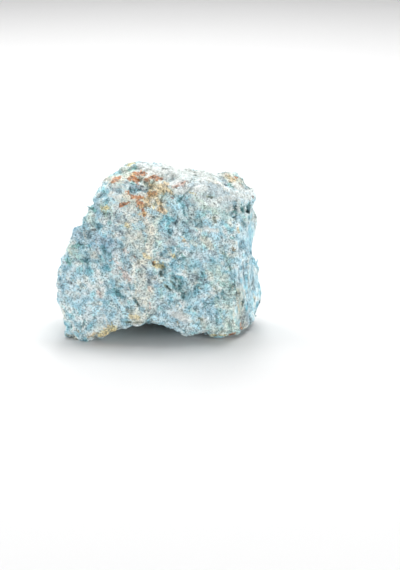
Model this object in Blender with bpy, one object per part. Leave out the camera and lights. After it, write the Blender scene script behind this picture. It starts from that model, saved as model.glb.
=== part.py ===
"""Raw apatite: one broken lump of granular blue apatite rock that rests on its own feet.

Run with: blender --background --python part.py

The lump is modelled the way a rock breaks. A small egg-shaped core lies inside it, and a dense
ball of rays leaves the core. Each ray runs out to the surface of a body that is bounded by the
large break faces, with small chips taken off its edges and hollows scooped out of it. The
surface is then roughened: lumps, ledges, tilted grain facets, upright blades on the right-hand
side, pits and bumps. Last, its lowest parts are worn flat as feet, which stand on the ground.

X runs along the broad front, Y from the front to the back, and Z up. The origin is on the
ground, below the middle of the lump's box. Lengths are in millimetres until the mesh is made.
"""

import math

import bmesh
import bpy
import numpy as np
from mathutils import Vector, noise

MM = 0.001

# ---------------------------------------------------------------- driving dimensions
HEART = np.array([0.0, 1.0, 19.0])  # the middle of the core that the rays start from
CORE = np.array([13.0, 2.5, 8.0])  # half-widths of that core
GRID = 72  # squares along each side of the six-sided ball of rays
TRIANGLES = 9400  # of the finished solid
LENGTH, DEPTH, HEIGHT = 50.0, 31.0, 42.0  # of the box round the finished lump
EDGE_SHARPNESS = 2.6  # 1/mm: how tightly neighbouring break faces meet
LONGEST_RAY = 45.0

# Break faces: the way each one faces, as degrees round from the front towards the right and
# degrees up, and a point that it passes through.
BREAKS = {
    "front_right": (4, 4, (8.0, -12.2, 18.0)),
    "front_left": (-10, 8, (-12.0, -11.8, 14.0)),
    "front_foot": (5, -56, (9.0, -11.8, 0.0)),
    "stained_slope": (-12, 60, (-5.0, -5.0, 39.0)),
    "top_right": (10, 86, (9.0, -3.0, 39.2)),
    "top_left": (165, 86, (-3.0, 4.0, 43.4)),
    "top_fall": (80, 80, (6.3, 4.0, 38.0)),
    "left_upper": (-94, 45, (-12.9, 6.0, 33.6)),
    "left_middle": (-95, 30, (-18.0, 6.0, 26.4)),
    "left_lower": (-96, 17, (-21.6, 6.0, 17.8)),
    "left_base": (-92, -4, (-24.8, 0.0, 10.0)),
    "left_undercut": (-84, -14, (-24.4, -6.0, 1.0)),
    "blade_side": (69, 0, (23.2, -5.0, 18.0)),
    "right_back": (116, 4, (25.6, 5.0, 17.0)),
    "right_shoulder": (84, 42, (24.4, -1.0, 34.8)),
    "right_under": (86, -46, (26.6, 1.0, 2.2)),
    "back_upper": (176, 30, (0.0, 9.5, 31.5)),
    "back_lower": (186, -5, (0.0, 16.4, 11.0)),
    "back_left": (-139, 14, (-17.4, 10.4, 17.0)),
    "back_right": (146, 12, (17.9, 10.9, 18.0)),
    "back_under": (178, -50, (0.0, 14.9, 1.4)),
    "underside": (0, -90, (0.0, 0.0, 0.0)),
}

# Hollows scooped out of the body: centre and half-widths.
HOLLOWS = {
    "front_arch": ((-2.6, -11.0, -0.8), (9.4, 13.0, 4.7)),
    "back_arch": ((4.0, 12.0, -1.0), (7.0, 9.0, 4.2)),
    "left_notch": ((-26.2, -7.0, 4.6), (3.6, 7.0, 2.6)),
    "left_step": ((-19.6, 4.0, 29.4), (3.8, 9.0, 3.2)),
    "top_saddle": ((13.2, 5.5, 41.6), (3.4, 8.0, 3.8)),
    "side_dent": ((27.2, 1.0, 17.2), (3.8, 8.0, 3.8)),
}
HOLLOW_SHARPNESS = 1.6

# Chips: small flat breaks that take the edges off the body.
CHIPS = 46
CHIP_SEED = 17
CHIP_DEPTH = (0.5, 1.9)  # how far inside the body's corners they cut

# Roughness of the broken surface: height and the size of its features.
LUMP_HEIGHT, LUMP_SIZE = 0.6, 8.0
LEDGE_HEIGHT, LEDGE_SIZE = 0.4, 6.0
FACET_LAYERS = ((0.5, 4.4), (0.34, 2.3))  # tilted facets of coarse and fine grain clusters
CELL_BEND = 0.3  # how far the walls between facets wander, in facets
BLADE_HEIGHT, BLADE_WIDTH, BLADE_LENGTH = 0.9, 2.6, 16.0
BLADE_FACING = 76.0  # degrees round from the front to the middle of the bladed side
BLADE_SPREAD = 42.0  # degrees from there to where the blades die out

# Single features: centre, radius and height (negative is a pit).
FEATURES = {
    "amber_pit": ((2.0, -12.5, 17.4), 1.5, -1.9),
    "seam_crack": ((-3.4, -12.8, 7.6), 1.5, -1.1),
    "dark_hollow": ((8.5, -12.4, 12.6), 3.0, -1.2),
    "front_bulge": ((9.5, -12.2, 22.0), 6.5, 0.7),
    "left_bulge": ((-18.5, -10.5, 12.0), 6.0, 0.6),
    "seam_groove": ((-3.0, -11.8, 24.0), 3.4, -0.8),
    "corner_socket": ((18.6, -9.5, 30.6), 2.4, -1.3),
    "corner_knob": ((20.0, 1.5, 37.0), 3.8, 1.8),
    "slope_hump": ((-7.5, -8.0, 34.6), 3.6, 0.8),
    "slope_step": ((-1.0, -7.2, 35.6), 2.2, -0.7),
    "left_ledge": ((-19.0, -8.0, 21.5), 3.2, 0.8),
    "foot_crystal": ((-12.6, -9.2, 2.6), 2.2, 1.4),
    "back_bulge": ((-6.0, 15.0, 14.0), 7.0, 1.1),
    "back_scoop": ((8.0, 13.0, 22.0), 6.0, -1.3),
}

# Feet: the places on the underside that reach the ground, each with a radius and a height.
FEET = {
    "left_foot": ((-18.5, -7.0, 0.0), 4.2, 1.6),
    "right_foot": ((14.6, -6.6, 0.0), 4.4, 1.6),
    "back_left_foot": ((-9.5, 9.0, 0.0), 4.2, 1.6),
    "back_right_foot": ((14.0, 6.5, 0.0), 4.2, 1.6),
}

FOOT_WEAR = 1.5  # how much of the lowest points is worn off level where the lump stands
FOOT_EDGE = 0.15  # points this close to the level of the feet are moved onto it

ROCK_COLOUR = (0.38, 0.53, 0.56, 1.0)
ROCK_ROUGHNESS = 0.72


# ---------------------------------------------------------------- the body of break faces
def facing(around, up):
    """The unit vector that points `around` degrees from the front and `up` degrees high."""
    a, e = math.radians(around), math.radians(up)
    return np.array([math.sin(a) * math.cos(e), -math.cos(a) * math.cos(e), math.sin(e)])


def soft_largest(values, sharpness):
    """The largest of the values along the last axis, with the corners rounded off."""
    top = values.max(axis=-1)
    return top + np.log(np.exp(sharpness * (values - top[..., None])).sum(axis=-1)) / sharpness


def break_planes():
    """Every break face as a unit normal and its distance from the world's origin."""
    normals = np.array([facing(around, up) for around, up, _ in BREAKS.values()])
    points = np.array([point for _, _, point in BREAKS.values()])
    return normals, (normals * points).sum(axis=1)


def chip_planes(normals, offsets):
    """Random planes that each cut a little way into the body of the break faces."""
    chance = np.random.default_rng(CHIP_SEED)
    spread = chance.normal(size=(CHIPS, 3))
    spread /= np.linalg.norm(spread, axis=1, keepdims=True)
    rays = ball_of_rays(12)
    reach = hard_reach(rays, normals, offsets)
    corners = HEART + CORE * rays + rays * reach[:, None]
    support = (corners @ spread.T).max(axis=0)
    return spread, support - chance.uniform(*CHIP_DEPTH, size=CHIPS)


def hard_reach(rays, normals, offsets):
    """How far each ray from the core runs before it meets a plane."""
    towards = rays @ normals.T
    room = offsets - (HEART + CORE * rays) @ normals.T
    reach = np.where(towards > 1e-6, room / np.maximum(towards, 1e-6), np.inf)
    return reach.min(axis=1)


def body_field(points, planes):
    """Below zero inside the body, above zero outside it, in millimetres near the surface."""
    normals, offsets = planes
    outside = soft_largest(points @ normals.T - offsets, EDGE_SHARPNESS)
    for centre, half_widths in HOLLOWS.values():
        scaled = (points - np.array(centre)) / np.array(half_widths)
        inside_hollow = (1.0 - np.linalg.norm(scaled, axis=1)) * min(half_widths)
        both = np.stack([outside, inside_hollow], axis=-1)
        outside = soft_largest(both, HOLLOW_SHARPNESS)
    return outside


def surface_reach(rays, planes):
    """The length of each ray from the core to the body's surface, by halving steps."""
    starts = HEART + CORE * rays
    near = np.zeros(len(rays))
    far = np.full(len(rays), LONGEST_RAY)
    for _ in range(26):
        middle = (near + far) / 2
        is_inside = body_field(starts + rays * middle[:, None], planes) < 0
        near = np.where(is_inside, middle, near)
        far = np.where(is_inside, far, middle)
    return (near + far) / 2


# ---------------------------------------------------------------- the ball of rays
def ray_ball_mesh(squares):
    """A cube whose faces are cut into squares, blown up to a ball: a bmesh of unit rays."""
    ball = bmesh.new()
    bmesh.ops.create_cube(ball, size=2.0)
    bmesh.ops.subdivide_edges(ball, edges=ball.edges[:], cuts=squares - 1, use_grid_fill=True)
    for vertex in ball.verts:
        # The tangent spaces the squares evenly over the ball.
        even = [math.tan(c * math.pi / 4) for c in vertex.co]
        vertex.co = Vector(even).normalized()
    return ball


def ball_of_rays(squares):
    ball = ray_ball_mesh(squares)
    rays = np.array([vertex.co for vertex in ball.verts])
    ball.free()
    return rays


# ---------------------------------------------------------------- roughness
def smooth_step(value):
    value = min(max(value, 0.0), 1.0)
    return value * value * (3 - 2 * value)


def lumps(point):
    """Slow swells over the whole surface."""
    return LUMP_HEIGHT * noise.fractal(point / LUMP_SIZE, 0.9, 2.1, 3)


def ledges(point):
    """A slow swell that is cut into steps, so that low ledges run across the faces."""
    level = 2.2 * noise.noise(point / LEDGE_SIZE + Vector((7.3, 1.9, 4.4)))
    step = math.floor(level)
    return LEDGE_HEIGHT * (step + smooth_step((level - step - 0.4) / 0.2))


def bend(place):
    """A slow sideways shift that stops the walls between the facets from running straight."""
    shift = [noise.noise(place * 1.7 + Vector((0.0, 0.0, 31.0 * axis))) for axis in range(3)]
    return Vector(shift)


def grain_facets(point, height, size):
    """Cells that each hold one flat facet with its own height and tilt."""
    place = point / size + CELL_BEND * bend(point / size)
    distances, centres = noise.voronoi(place)
    centre = centres[0]
    tilt = noise.cell_vector(centre * 9.7) * 2 - Vector((1, 1, 1))
    lift = noise.cell(centre * 7.1) - 0.5
    gap = min((distances[1] - distances[0]) / 0.12, 1.0)
    tilted = lift + 0.9 * tilt.dot(place - centre)
    return height * (tilted - 0.35 * (1 - gap))


def blades(point, around):
    """Upright blades that overlap like shingles: steep on one side and slow on the other."""
    strength = smooth_step(1.0 - abs(around - BLADE_FACING) / BLADE_SPREAD)
    if strength == 0.0:
        return 0.0
    across = Vector((point.y * 0.94 + point.x * 0.34, 0.0, point.z / BLADE_LENGTH * BLADE_WIDTH))
    wander = noise.noise(across / 6.0) * 2.4
    place = (across.x + wander) / BLADE_WIDTH
    slope = place - math.floor(place)
    rise = slope / 0.75 if slope < 0.75 else (1.0 - slope) / 0.25
    length_fade = 0.6 + 0.8 * noise.noise(Vector((math.floor(place), point.z / 7.0, 3.1)))
    return strength * BLADE_HEIGHT * (rise - 0.5) * length_fade


def single_features(point):
    total = 0.0
    for centre, radius, height in [*FEATURES.values(), *FEET.values()]:
        away = (point - Vector(centre)).length / radius
        total += height * math.exp(-((away * 1.25) ** 4))
    return total


def roughness(point):
    """How far the surface stands out of the smooth body at a point of it."""
    heart_to_point = point - Vector(HEART)
    around = math.degrees(math.atan2(heart_to_point.x, -heart_to_point.y))
    height = lumps(point) + ledges(point) + blades(point, around) + single_features(point)
    for facet_height, facet_size in FACET_LAYERS:
        height += grain_facets(point, facet_height, facet_size)
    return height


# ---------------------------------------------------------------- the solid
def rock_mesh():
    """The rough lump as a bmesh in millimetres, standing on the ground."""
    normals, offsets = break_planes()
    chip_normals, chip_offsets = chip_planes(normals, offsets)
    planes = np.vstack([normals, chip_normals]), np.concatenate([offsets, chip_offsets])
    rock = ray_ball_mesh(GRID)
    rays = np.array([vertex.co for vertex in rock.verts])
    reach = surface_reach(rays, planes)
    for vertex, ray, distance in zip(rock.verts, rays, reach):
        on_body = Vector(HEART + CORE * ray + ray * distance)
        vertex.co = on_body + Vector(ray) * roughness(on_body)
    return rock


def wear_feet(rock):
    """Cuts the lowest points off level, so that the lump stands on flat feet, and closes them."""
    level = min(vertex.co.z for vertex in rock.verts) + FOOT_WEAR
    for vertex in rock.verts:
        if abs(vertex.co.z - level) < FOOT_EDGE:
            vertex.co.z = level
    bmesh.ops.bisect_plane(
        rock,
        geom=rock.verts[:] + rock.edges[:] + rock.faces[:],
        dist=FOOT_EDGE / 100,
        plane_co=(0.0, 0.0, level),
        plane_no=(0.0, 0.0, 1.0),
        clear_inner=True,
    )
    lying = [face for face in rock.faces if all(v.co.z <= level for v in face.verts)]
    bmesh.ops.delete(rock, geom=lying, context="FACES")
    loose = [vertex for vertex in rock.verts if not vertex.link_faces]
    bmesh.ops.delete(rock, geom=loose, context="VERTS")
    rims = [edge for edge in rock.edges if edge.is_boundary]
    bmesh.ops.edgeloop_fill(rock, edges=rims)


def size_and_centre(rock):
    """Gives the lump its length, depth and height, with the origin on the ground below it."""
    places = np.array([vertex.co for vertex in rock.verts])
    low, high = places.min(axis=0), places.max(axis=0)
    stretch = np.array([LENGTH, DEPTH, HEIGHT]) / (high - low)
    base = np.array([(low[0] + high[0]) / 2, (low[1] + high[1]) / 2, low[2]])
    for vertex, place in zip(rock.verts, places):
        vertex.co = (place - base) * stretch


def rock_material():
    material = bpy.data.materials.new("blue_apatite")
    material.use_nodes = True
    shader = material.node_tree.nodes["Principled BSDF"]
    shader.inputs["Base Color"].default_value = ROCK_COLOUR
    shader.inputs["Roughness"].default_value = ROCK_ROUGHNESS
    shader.inputs["Metallic"].default_value = 0.0
    material.diffuse_color = ROCK_COLOUR
    return material


def thinned_out(rock):
    """The lump with its triangles merged down to the wanted number, most where it is flattest."""
    bmesh.ops.triangulate(rock, faces=rock.faces)
    dense = bpy.data.meshes.new("dense_lump")
    rock.to_mesh(dense)
    ratio = TRIANGLES / len(rock.faces)
    rock.free()
    lump = bpy.data.objects.new("dense_lump", dense)
    bpy.context.scene.collection.objects.link(lump)
    thin_out = lump.modifiers.new("thin_out", "DECIMATE")
    thin_out.ratio = ratio
    graph = bpy.context.evaluated_depsgraph_get()
    thin = bmesh.new()
    thin.from_object(lump, graph)
    bpy.data.objects.remove(lump)
    return thin


def make_rock():
    rock = thinned_out(rock_mesh())
    wear_feet(rock)
    size_and_centre(rock)
    bmesh.ops.scale(rock, vec=(MM, MM, MM), verts=rock.verts)
    bmesh.ops.triangulate(rock, faces=rock.faces)
    bmesh.ops.recalc_face_normals(rock, faces=rock.faces)
    mesh = bpy.data.meshes.new("apatite_rock")
    rock.to_mesh(mesh)
    rock.free()
    mesh.materials.append(rock_material())
    solid = bpy.data.objects.new("apatite_rock", mesh)
    bpy.context.scene.collection.objects.link(solid)


def main():
    for old in list(bpy.data.objects):
        bpy.data.objects.remove(old)
    make_rock()


main()
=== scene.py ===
"""Raw apatite stone: the dressed model round its fixed frame, laid out as a Blender add-on.

The stone's skin is a closed ball of squares laid on the frame's solid and roughened with grains,
pits and upright blades. Loose grains, laths, crystals and blades sit in the skin. Stains are kept
as point attributes, which the materials turn into colours.

Lengths in the functions that make shapes are millimetres, and those in the materials are metres.
Every noise and every kind of cell has a seed of its own, which only has to differ.
"""

import math

import bpy
import numpy as np
from bpy.props import FloatProperty, FloatVectorProperty, IntProperty, PointerProperty
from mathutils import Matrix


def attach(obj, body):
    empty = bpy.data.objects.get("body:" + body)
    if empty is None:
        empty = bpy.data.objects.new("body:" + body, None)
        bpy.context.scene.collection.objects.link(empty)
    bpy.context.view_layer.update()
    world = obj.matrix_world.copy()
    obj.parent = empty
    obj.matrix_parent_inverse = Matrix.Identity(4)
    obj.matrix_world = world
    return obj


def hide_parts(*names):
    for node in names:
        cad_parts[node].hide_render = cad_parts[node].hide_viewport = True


bl_info = {
    "name": "Raw apatite stone",
    "version": (1, 0, 0),
    "blender": (4, 5, 0),
    "location": "3D View > Sidebar > Stone",
    "description": "Builds a rough lump of granular blue apatite and the stage it stands on",
    "category": "Add Mesh",
}

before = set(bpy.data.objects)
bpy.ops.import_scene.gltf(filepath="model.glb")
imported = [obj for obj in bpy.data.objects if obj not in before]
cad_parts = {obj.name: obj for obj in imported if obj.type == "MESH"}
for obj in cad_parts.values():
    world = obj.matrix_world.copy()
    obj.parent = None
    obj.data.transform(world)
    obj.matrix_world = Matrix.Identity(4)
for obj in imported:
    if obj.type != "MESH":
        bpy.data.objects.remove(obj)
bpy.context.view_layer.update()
SOLID = "apatite_rock"

MM = 0.001
HEART = np.array([0.0, 1.0, 19.0])  # the middle of the stone, where the ball of squares starts
HALF_BOX = np.array([25.0, 15.5, 21.0])  # half the stone's box, which spreads the squares evenly

# Large odd numbers that whole numbers are mixed with to make random ones, and a mask.
MIXERS = np.array([374761393, 668265263, 2246822519, 3266489917], dtype=np.uint64)
LOW_32_BITS = np.uint64(0xFFFFFFFF)

# The front view that the marks are measured in: how far it looks down, from how far away, the
# point it is aimed at, and that point's own place across and up among the marks.
FRONT_TILT = math.radians(18.0)
FRONT_DISTANCE = 400.0
FRONT_AIM = (9.492, 9.9485)
MARKS_AIM = (10.192, 13.5485)

# Marks in the stone's front. Each is a stroke: across and up of its start, across
# and up of its end, and its radius, in millimetres.
MARKS = {
    "rust": (
        (-11.1, 38.8, -10.4, 39.8, 0.42), (-10.1, 39.3, -9.4, 40.0, 0.37),
        (-7.2, 39.5, -6.2, 40.1, 0.56), (-6.2, 39.8, -5.0, 39.3, 0.56),
        (-5.5, 38.8, -5.0, 38.3, 0.37), (-5.9, 40.9, -4.8, 40.6, 0.47),
        (-4.8, 40.7, -3.5, 41.0, 0.54), (-3.3, 39.3, -2.1, 39.4, 0.49),
        (-2.1, 39.6, -0.6, 40.0, 0.59), (-0.6, 39.5, 0.6, 39.5, 0.47),
        (-6.5, 35.4, -5.0, 34.9, 0.56), (-5.0, 34.9, -3.8, 35.1, 0.47),
        (-5.0, 34.1, -4.0, 33.1, 0.66), (-2.3, 35.8, -0.8, 36.2, 0.56),
        (-9.4, 32.9, -8.4, 33.4, 0.49), (-8.4, 33.4, -7.2, 33.9, 0.39),
        (-4.0, 32.4, -3.8, 31.7, 0.37), (18.8, 40.1, 19.3, 39.9, 0.34),
        (-7.9, 36.3, -7.4, 36.1, 0.34), (20.1, 4.2, 20.4, 2.5, 0.32), (17.5, 1.4, 18.8, 1.8, 0.32),
        (0.4, 32.2, 1.1, 31.9, 0.44), (-1.3, 19.2, -0.8, 18.7, 0.24), (3.9, 37.6, 4.7, 37.8, 0.24),
        (5.7, 38.3, 6.5, 38.8, 0.22), (-3.5, 31.2, -3.3, 30.2, 0.34),
    ),
    "umber": (
        (-15.5, 0.8, -11.4, 1.4, 0.29), (-4.6, 40.8, -3.5, 41.0, 0.22),
        (-1.6, 40.0, -0.8, 39.9, 0.22), (0.4, 39.6, 0.9, 39.4, 0.22),
        (-5.2, 38.5, -5.0, 38.3, 0.17), (-5.2, 34.9, -4.8, 34.9, 0.17),
        (-4.3, 33.6, -4.0, 33.1, 0.20), (3.1, 35.1, 3.6, 34.9, 0.29),
        (-4.0, 32.2, -3.8, 31.7, 0.17), (-0.1, 31.7, 1.1, 31.4, 0.22),
        (20.1, 2.8, 20.4, 2.4, 0.22), (-5.9, 20.7, -5.7, 20.2, 0.22),
        (-4.4, 19.4, -4.1, 19.2, 0.20), (17.8, 1.3, 18.5, 1.5, 0.20),
        (23.1, 35.4, 23.3, 34.7, 0.20), (10.9, 1.3, 12.2, 1.2, 0.20),
    ),
    "ochre": (
        (-2.1, 38.0, -1.1, 37.6, 0.47), (-1.1, 38.5, -0.1, 37.8, 0.42),
        (0.4, 37.8, 1.9, 37.1, 0.64), (-0.3, 36.8, 1.1, 36.3, 0.59), (1.6, 38.5, 2.4, 38.3, 0.39),
        (-2.8, 35.4, -2.1, 36.1, 0.54), (-3.5, 34.6, -2.8, 34.4, 0.47),
        (-0.3, 34.4, 0.4, 33.6, 0.54), (-2.1, 36.8, -1.3, 37.1, 0.39),
        (-4.5, 32.7, -3.5, 32.9, 0.44), (-4.8, 30.9, -3.0, 31.2, 0.32),
        (-7.0, 40.5, -6.0, 40.7, 0.39), (0.1, 32.4, 1.6, 31.4, 0.64),
        (-3.0, 33.6, -2.1, 32.9, 0.44), (2.4, 36.8, 3.3, 36.1, 0.47),
        (-1.6, 35.4, -0.1, 35.4, 0.54), (17.5, 39.8, 18.5, 39.0, 0.56),
        (13.9, 38.9, 14.7, 38.5, 0.37), (16.4, 40.6, 17.3, 40.3, 0.32),
        (-3.8, 30.5, -3.0, 30.9, 0.29), (-3.8, 21.4, -3.0, 20.9, 0.29),
        (19.5, 27.5, 19.7, 26.5, 0.32), (18.3, 22.4, 18.8, 22.0, 0.39),
        (5.8, 25.1, 6.5, 24.1, 0.39), (19.6, 8.6, 19.9, 6.9, 0.22), (13.4, 12.8, 13.9, 12.6, 0.22),
        (-13.3, 2.8, -11.9, 3.3, 0.32), (-14.3, 1.4, -11.9, 1.8, 0.29),
        (-11.4, 2.3, -10.6, 2.5, 0.24), (-15.8, 1.5, -15.0, 1.8, 0.29),
        (-17.0, 0.9, -15.8, 1.1, 0.22), (-19.7, 2.5, -19.5, 2.0, 0.27),
        (9.9, 12.8, 10.2, 12.6, 0.20), (4.6, 4.5, 4.7, 4.0, 0.24), (23.4, 10.6, 23.9, 10.1, 0.20),
        (-20.9, 14.8, -20.7, 14.5, 0.20),
    ),
    "olive": (
        (11.7, 35.3, 13.1, 35.0, 0.22), (-13.6, 31.4, -12.6, 31.3, 0.22),
        (-1.1, 30.1, -0.7, 29.8, 0.20), (13.5, 30.0, 14.0, 29.1, 0.42),
        (-5.9, 9.9, -4.9, 8.3, 0.22), (0.5, 17.0, 0.5, 16.2, 0.44), (-1.8, 20.4, -1.7, 19.2, 0.22),
        (1.6, 13.5, 3.1, 12.3, 0.29), (3.1, 14.5, 4.3, 13.3, 0.24), (-22.6, 1.3, -19.9, 0.2, 0.29),
        (-7.9, 4.4, -3.0, 4.4, 0.27), (9.9, 5.5, 10.9, 5.0, 0.34), (15.6, 21.4, 16.3, 21.6, 0.20),
        (4.6, 30.5, 5.2, 29.7, 0.24),
    ),
    "yellow": (
        (-3.3, 20.8, -2.3, 20.2, 0.51), (-0.6, 18.4, 0.8, 18.1, 0.73),
        (-6.5, 5.7, -5.0, 5.6, 0.59), (-14.6, 0.8, -13.6, 1.5, 0.37),
        (-13.8, 1.8, -11.1, 2.5, 0.73), (-11.6, 3.3, -10.4, 3.0, 0.42),
        (-13.8, 32.2, -12.6, 32.5, 0.47), (11.2, 1.2, 16.6, 1.2, 0.27),
        (3.3, 20.9, 4.1, 20.2, 0.39), (-7.4, 42.9, -6.0, 43.4, 0.39),
        (-1.3, 33.1, -1.1, 32.4, 0.34), (-7.9, 28.5, -7.4, 27.8, 0.49),
        (7.7, 36.3, 9.2, 35.8, 0.34),
    ),
    "cream": (
        (21.1, 12.3, 21.2, 9.9, 0.22), (23.2, 11.6, 23.9, 10.1, 0.24),
        (18.4, 9.9, 18.5, 3.5, 0.15), (1.6, 33.6, -0.1, 29.0, 0.64),
        (-0.6, 29.0, -2.1, 24.6, 0.83), (-2.1, 24.6, -2.8, 20.7, 0.83),
        (-6.0, 19.2, -6.0, 16.0, 0.32), (-5.7, 15.3, -5.4, 11.1, 0.27),
        (-5.5, 11.1, -4.8, 9.6, 0.44), (-2.1, 12.8, -2.8, 9.4, 0.51), (-2.8, 9.4, -3.0, 5.7, 0.56),
        (-4.8, 19.2, -2.1, 19.9, 0.59), (-1.3, 15.5, 0.4, 14.5, 0.59),
        (-19.7, 14.5, -18.7, 13.1, 0.47), (8.2, 24.3, 9.2, 23.3, 0.47), (8.0, 7.9, 8.2, 7.2, 0.42),
        (-6.7, 5.5, -5.5, 5.2, 0.64), (11.9, 17.0, 13.1, 15.8, 0.59),
        (-7.2, 31.9, -5.5, 32.4, 0.49), (-10.1, 28.2, -9.4, 29.0, 0.34),
        (9.5, 27.5, 10.4, 26.8, 0.42), (6.8, 38.5, 9.0, 39.5, 0.54), (-0.1, 15.8, 1.1, 15.5, 0.27),
        (17.3, 29.0, 18.0, 28.0, 0.49), (2.4, 22.4, 3.3, 20.9, 0.44),
        (-14.3, 8.9, -15.8, 9.1, 0.59), (-7.7, 28.7, -6.7, 27.5, 0.54),
        (22.1, 20.4, 22.1, 11.8, 0.22), (19.3, 10.6, 19.7, 5.5, 0.24),
        (15.7, 8.6, 15.7, 3.7, 0.15), (-18.2, 26.3, -17.7, 25.1, 0.32),
        (12.2, 39.4, 15.1, 38.5, 0.49), (16.6, 40.3, 17.5, 39.8, 0.29),
        (16.3, 37.3, 17.1, 36.6, 0.37),
    ),
    "pink": (
        (-5.2, 37.4, -3.8, 36.8, 0.49), (-8.2, 16.2, -7.4, 15.0, 0.59),
        (-11.6, 20.2, -9.9, 18.9, 0.29), (-9.4, 17.7, -8.4, 16.7, 0.44),
        (3.8, 37.6, 6.8, 38.8, 0.54), (-2.5, 13.1, -2.1, 12.3, 0.32),
        (-14.8, 11.8, -13.8, 10.6, 0.44), (-2.1, 9.6, -2.0, 7.7, 0.22),
        (-8.4, 22.1, -7.4, 21.6, 0.27), (20.0, 38.3, 20.7, 37.3, 0.29),
        (16.4, 41.0, 16.8, 40.5, 0.24),
    ),
    "slate": (
        (19.9, 24.1, 19.9, 20.2, 0.20), (19.7, 17.7, 19.9, 13.8, 0.20),
        (20.7, 19.2, 21.2, 13.8, 0.24), (22.9, 17.7, 23.4, 12.3, 0.34),
        (20.7, 6.7, 22.4, 4.7, 0.78), (22.4, 8.6, 22.7, 7.4, 0.39), (-6.2, 37.6, -3.3, 36.9, 0.83),
        (-8.2, 38.8, -7.4, 38.5, 0.39), (-10.9, 37.1, -9.7, 36.6, 0.59),
        (-19.5, 26.5, -18.7, 25.8, 0.44), (-20.4, 19.9, -19.5, 19.4, 0.39),
        (-12.2, 30.9, -11.9, 29.7, 0.34), (-10.4, 31.2, -9.7, 29.2, 0.54),
        (-8.4, 30.5, -7.9, 29.5, 0.34), (-10.4, 27.5, -8.9, 26.3, 0.54),
        (-14.3, 25.6, -13.3, 23.8, 0.49), (-15.0, 22.4, -14.8, 21.1, 0.32),
        (6.3, 28.7, 7.5, 27.0, 0.39), (7.5, 26.8, 9.0, 26.5, 0.37), (7.3, 29.7, 7.7, 29.1, 0.29),
        (3.8, 28.2, 5.0, 29.8, 0.37), (-4.0, 18.4, -3.0, 17.5, 0.37),
        (-2.4, 15.3, -2.2, 13.8, 0.47), (8.0, 15.8, 11.7, 14.5, 0.59),
        (12.4, 21.9, 13.6, 21.1, 0.37), (21.5, 6.4, 22.2, 5.2, 0.59), (20.2, 5.5, 21.2, 3.7, 0.44),
        (-15.0, 12.8, -14.3, 12.3, 0.24), (3.1, 24.8, 4.3, 23.3, 0.64),
        (-7.9, 13.1, -7.4, 12.3, 0.32), (18.9, 11.6, 19.3, 11.1, 0.29),
        (0.9, 26.5, 1.4, 25.6, 0.27), (-17.2, 28.2, -16.8, 27.3, 0.39),
        (-22.1, 14.5, -21.2, 13.8, 0.34), (15.6, 39.5, 16.6, 38.5, 0.54),
        (6.5, 34.4, 7.3, 32.9, 0.42), (7.5, 36.9, 9.2, 36.8, 0.34), (0.4, 28.5, 0.6, 27.5, 0.27),
        (7.5, 15.3, 8.5, 14.5, 0.32), (-15.5, 40.3, -15.0, 39.8, 0.24),
        (15.2, 25.6, 15.6, 25.1, 0.27), (-14.3, 35.4, -13.3, 35.6, 0.44),
    ),
    "blue": (
        (18.3, 34.3, 19.0, 33.1, 0.59), (-13.8, 35.8, -13.1, 35.4, 0.39),
        (-17.7, 28.5, -17.2, 27.5, 0.44), (-6.2, 28.2, -5.7, 27.3, 0.42),
        (22.9, 17.7, 23.1, 15.5, 0.27), (23.7, 15.8, 24.4, 13.1, 0.47),
        (21.1, 19.4, 21.2, 17.5, 0.24), (-10.6, 10.6, -9.9, 10.1, 0.42),
        (-11.4, 9.6, -10.4, 9.4, 0.42), (2.4, 33.4, 4.6, 32.4, 0.64),
        (11.4, 29.0, 13.1, 27.8, 0.54), (13.1, 26.3, 14.6, 25.6, 0.56),
        (-16.5, 15.3, -15.8, 14.5, 0.51), (4.3, 9.9, 5.3, 8.4, 0.39),
        (-14.8, 27.0, -13.8, 25.8, 0.49), (-4.5, 29.0, -3.5, 28.0, 0.44),
        (22.0, 9.9, 22.7, 7.9, 0.44), (-1.6, 6.0, -0.1, 4.7, 0.64), (8.2, 4.0, 9.5, 2.8, 0.54),
        (-15.3, 7.7, -14.6, 7.2, 0.37), (-16.0, 7.2, -15.5, 6.4, 0.37),
        (-2.1, 31.9, -1.3, 31.2, 0.47), (21.5, 27.5, 22.2, 22.1, 0.32),
        (-9.9, 8.9, -7.9, 6.4, 0.59), (-3.8, 26.5, -3.0, 25.6, 0.29),
    ),
    "jade": (
        (19.9, 33.6, 20.2, 32.4, 0.37), (-7.2, 41.7, -5.0, 42.5, 0.42),
        (-6.3, 38.7, -6.0, 38.3, 0.32), (18.3, 31.6, 19.0, 31.2, 0.34),
        (22.2, 33.6, 22.3, 32.9, 0.32), (-2.3, 43.7, -0.6, 43.4, 0.24),
        (-20.7, 22.9, -19.7, 23.1, 0.64), (17.3, 38.2, 18.3, 37.7, 0.42),
        (4.6, 21.6, 6.5, 20.2, 0.32), (20.7, 32.2, 20.9, 31.2, 0.20),
        (-19.2, 19.9, -18.5, 18.9, 0.24), (-16.3, 32.4, -15.5, 31.7, 0.34),
        (-22.6, 19.7, -21.7, 18.7, 0.39), (5.0, 14.5, 5.5, 13.8, 0.32),
    ),
    "teal": (
        (-5.5, 37.1, -4.3, 36.8, 0.34), (9.7, 30.9, 10.8, 27.8, 0.24),
        (-7.0, 37.1, -6.5, 36.8, 0.32), (-18.5, 23.6, -18.2, 22.6, 0.37),
        (-17.5, 19.4, -17.2, 18.7, 0.29), (-13.7, 22.9, -13.1, 21.4, 0.47),
        (-12.6, 21.3, -11.9, 20.9, 0.29), (-13.7, 18.0, -13.9, 16.0, 0.22),
        (-10.9, 12.6, -9.9, 11.1, 0.64), (3.6, 13.1, 4.8, 12.1, 0.44),
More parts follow.
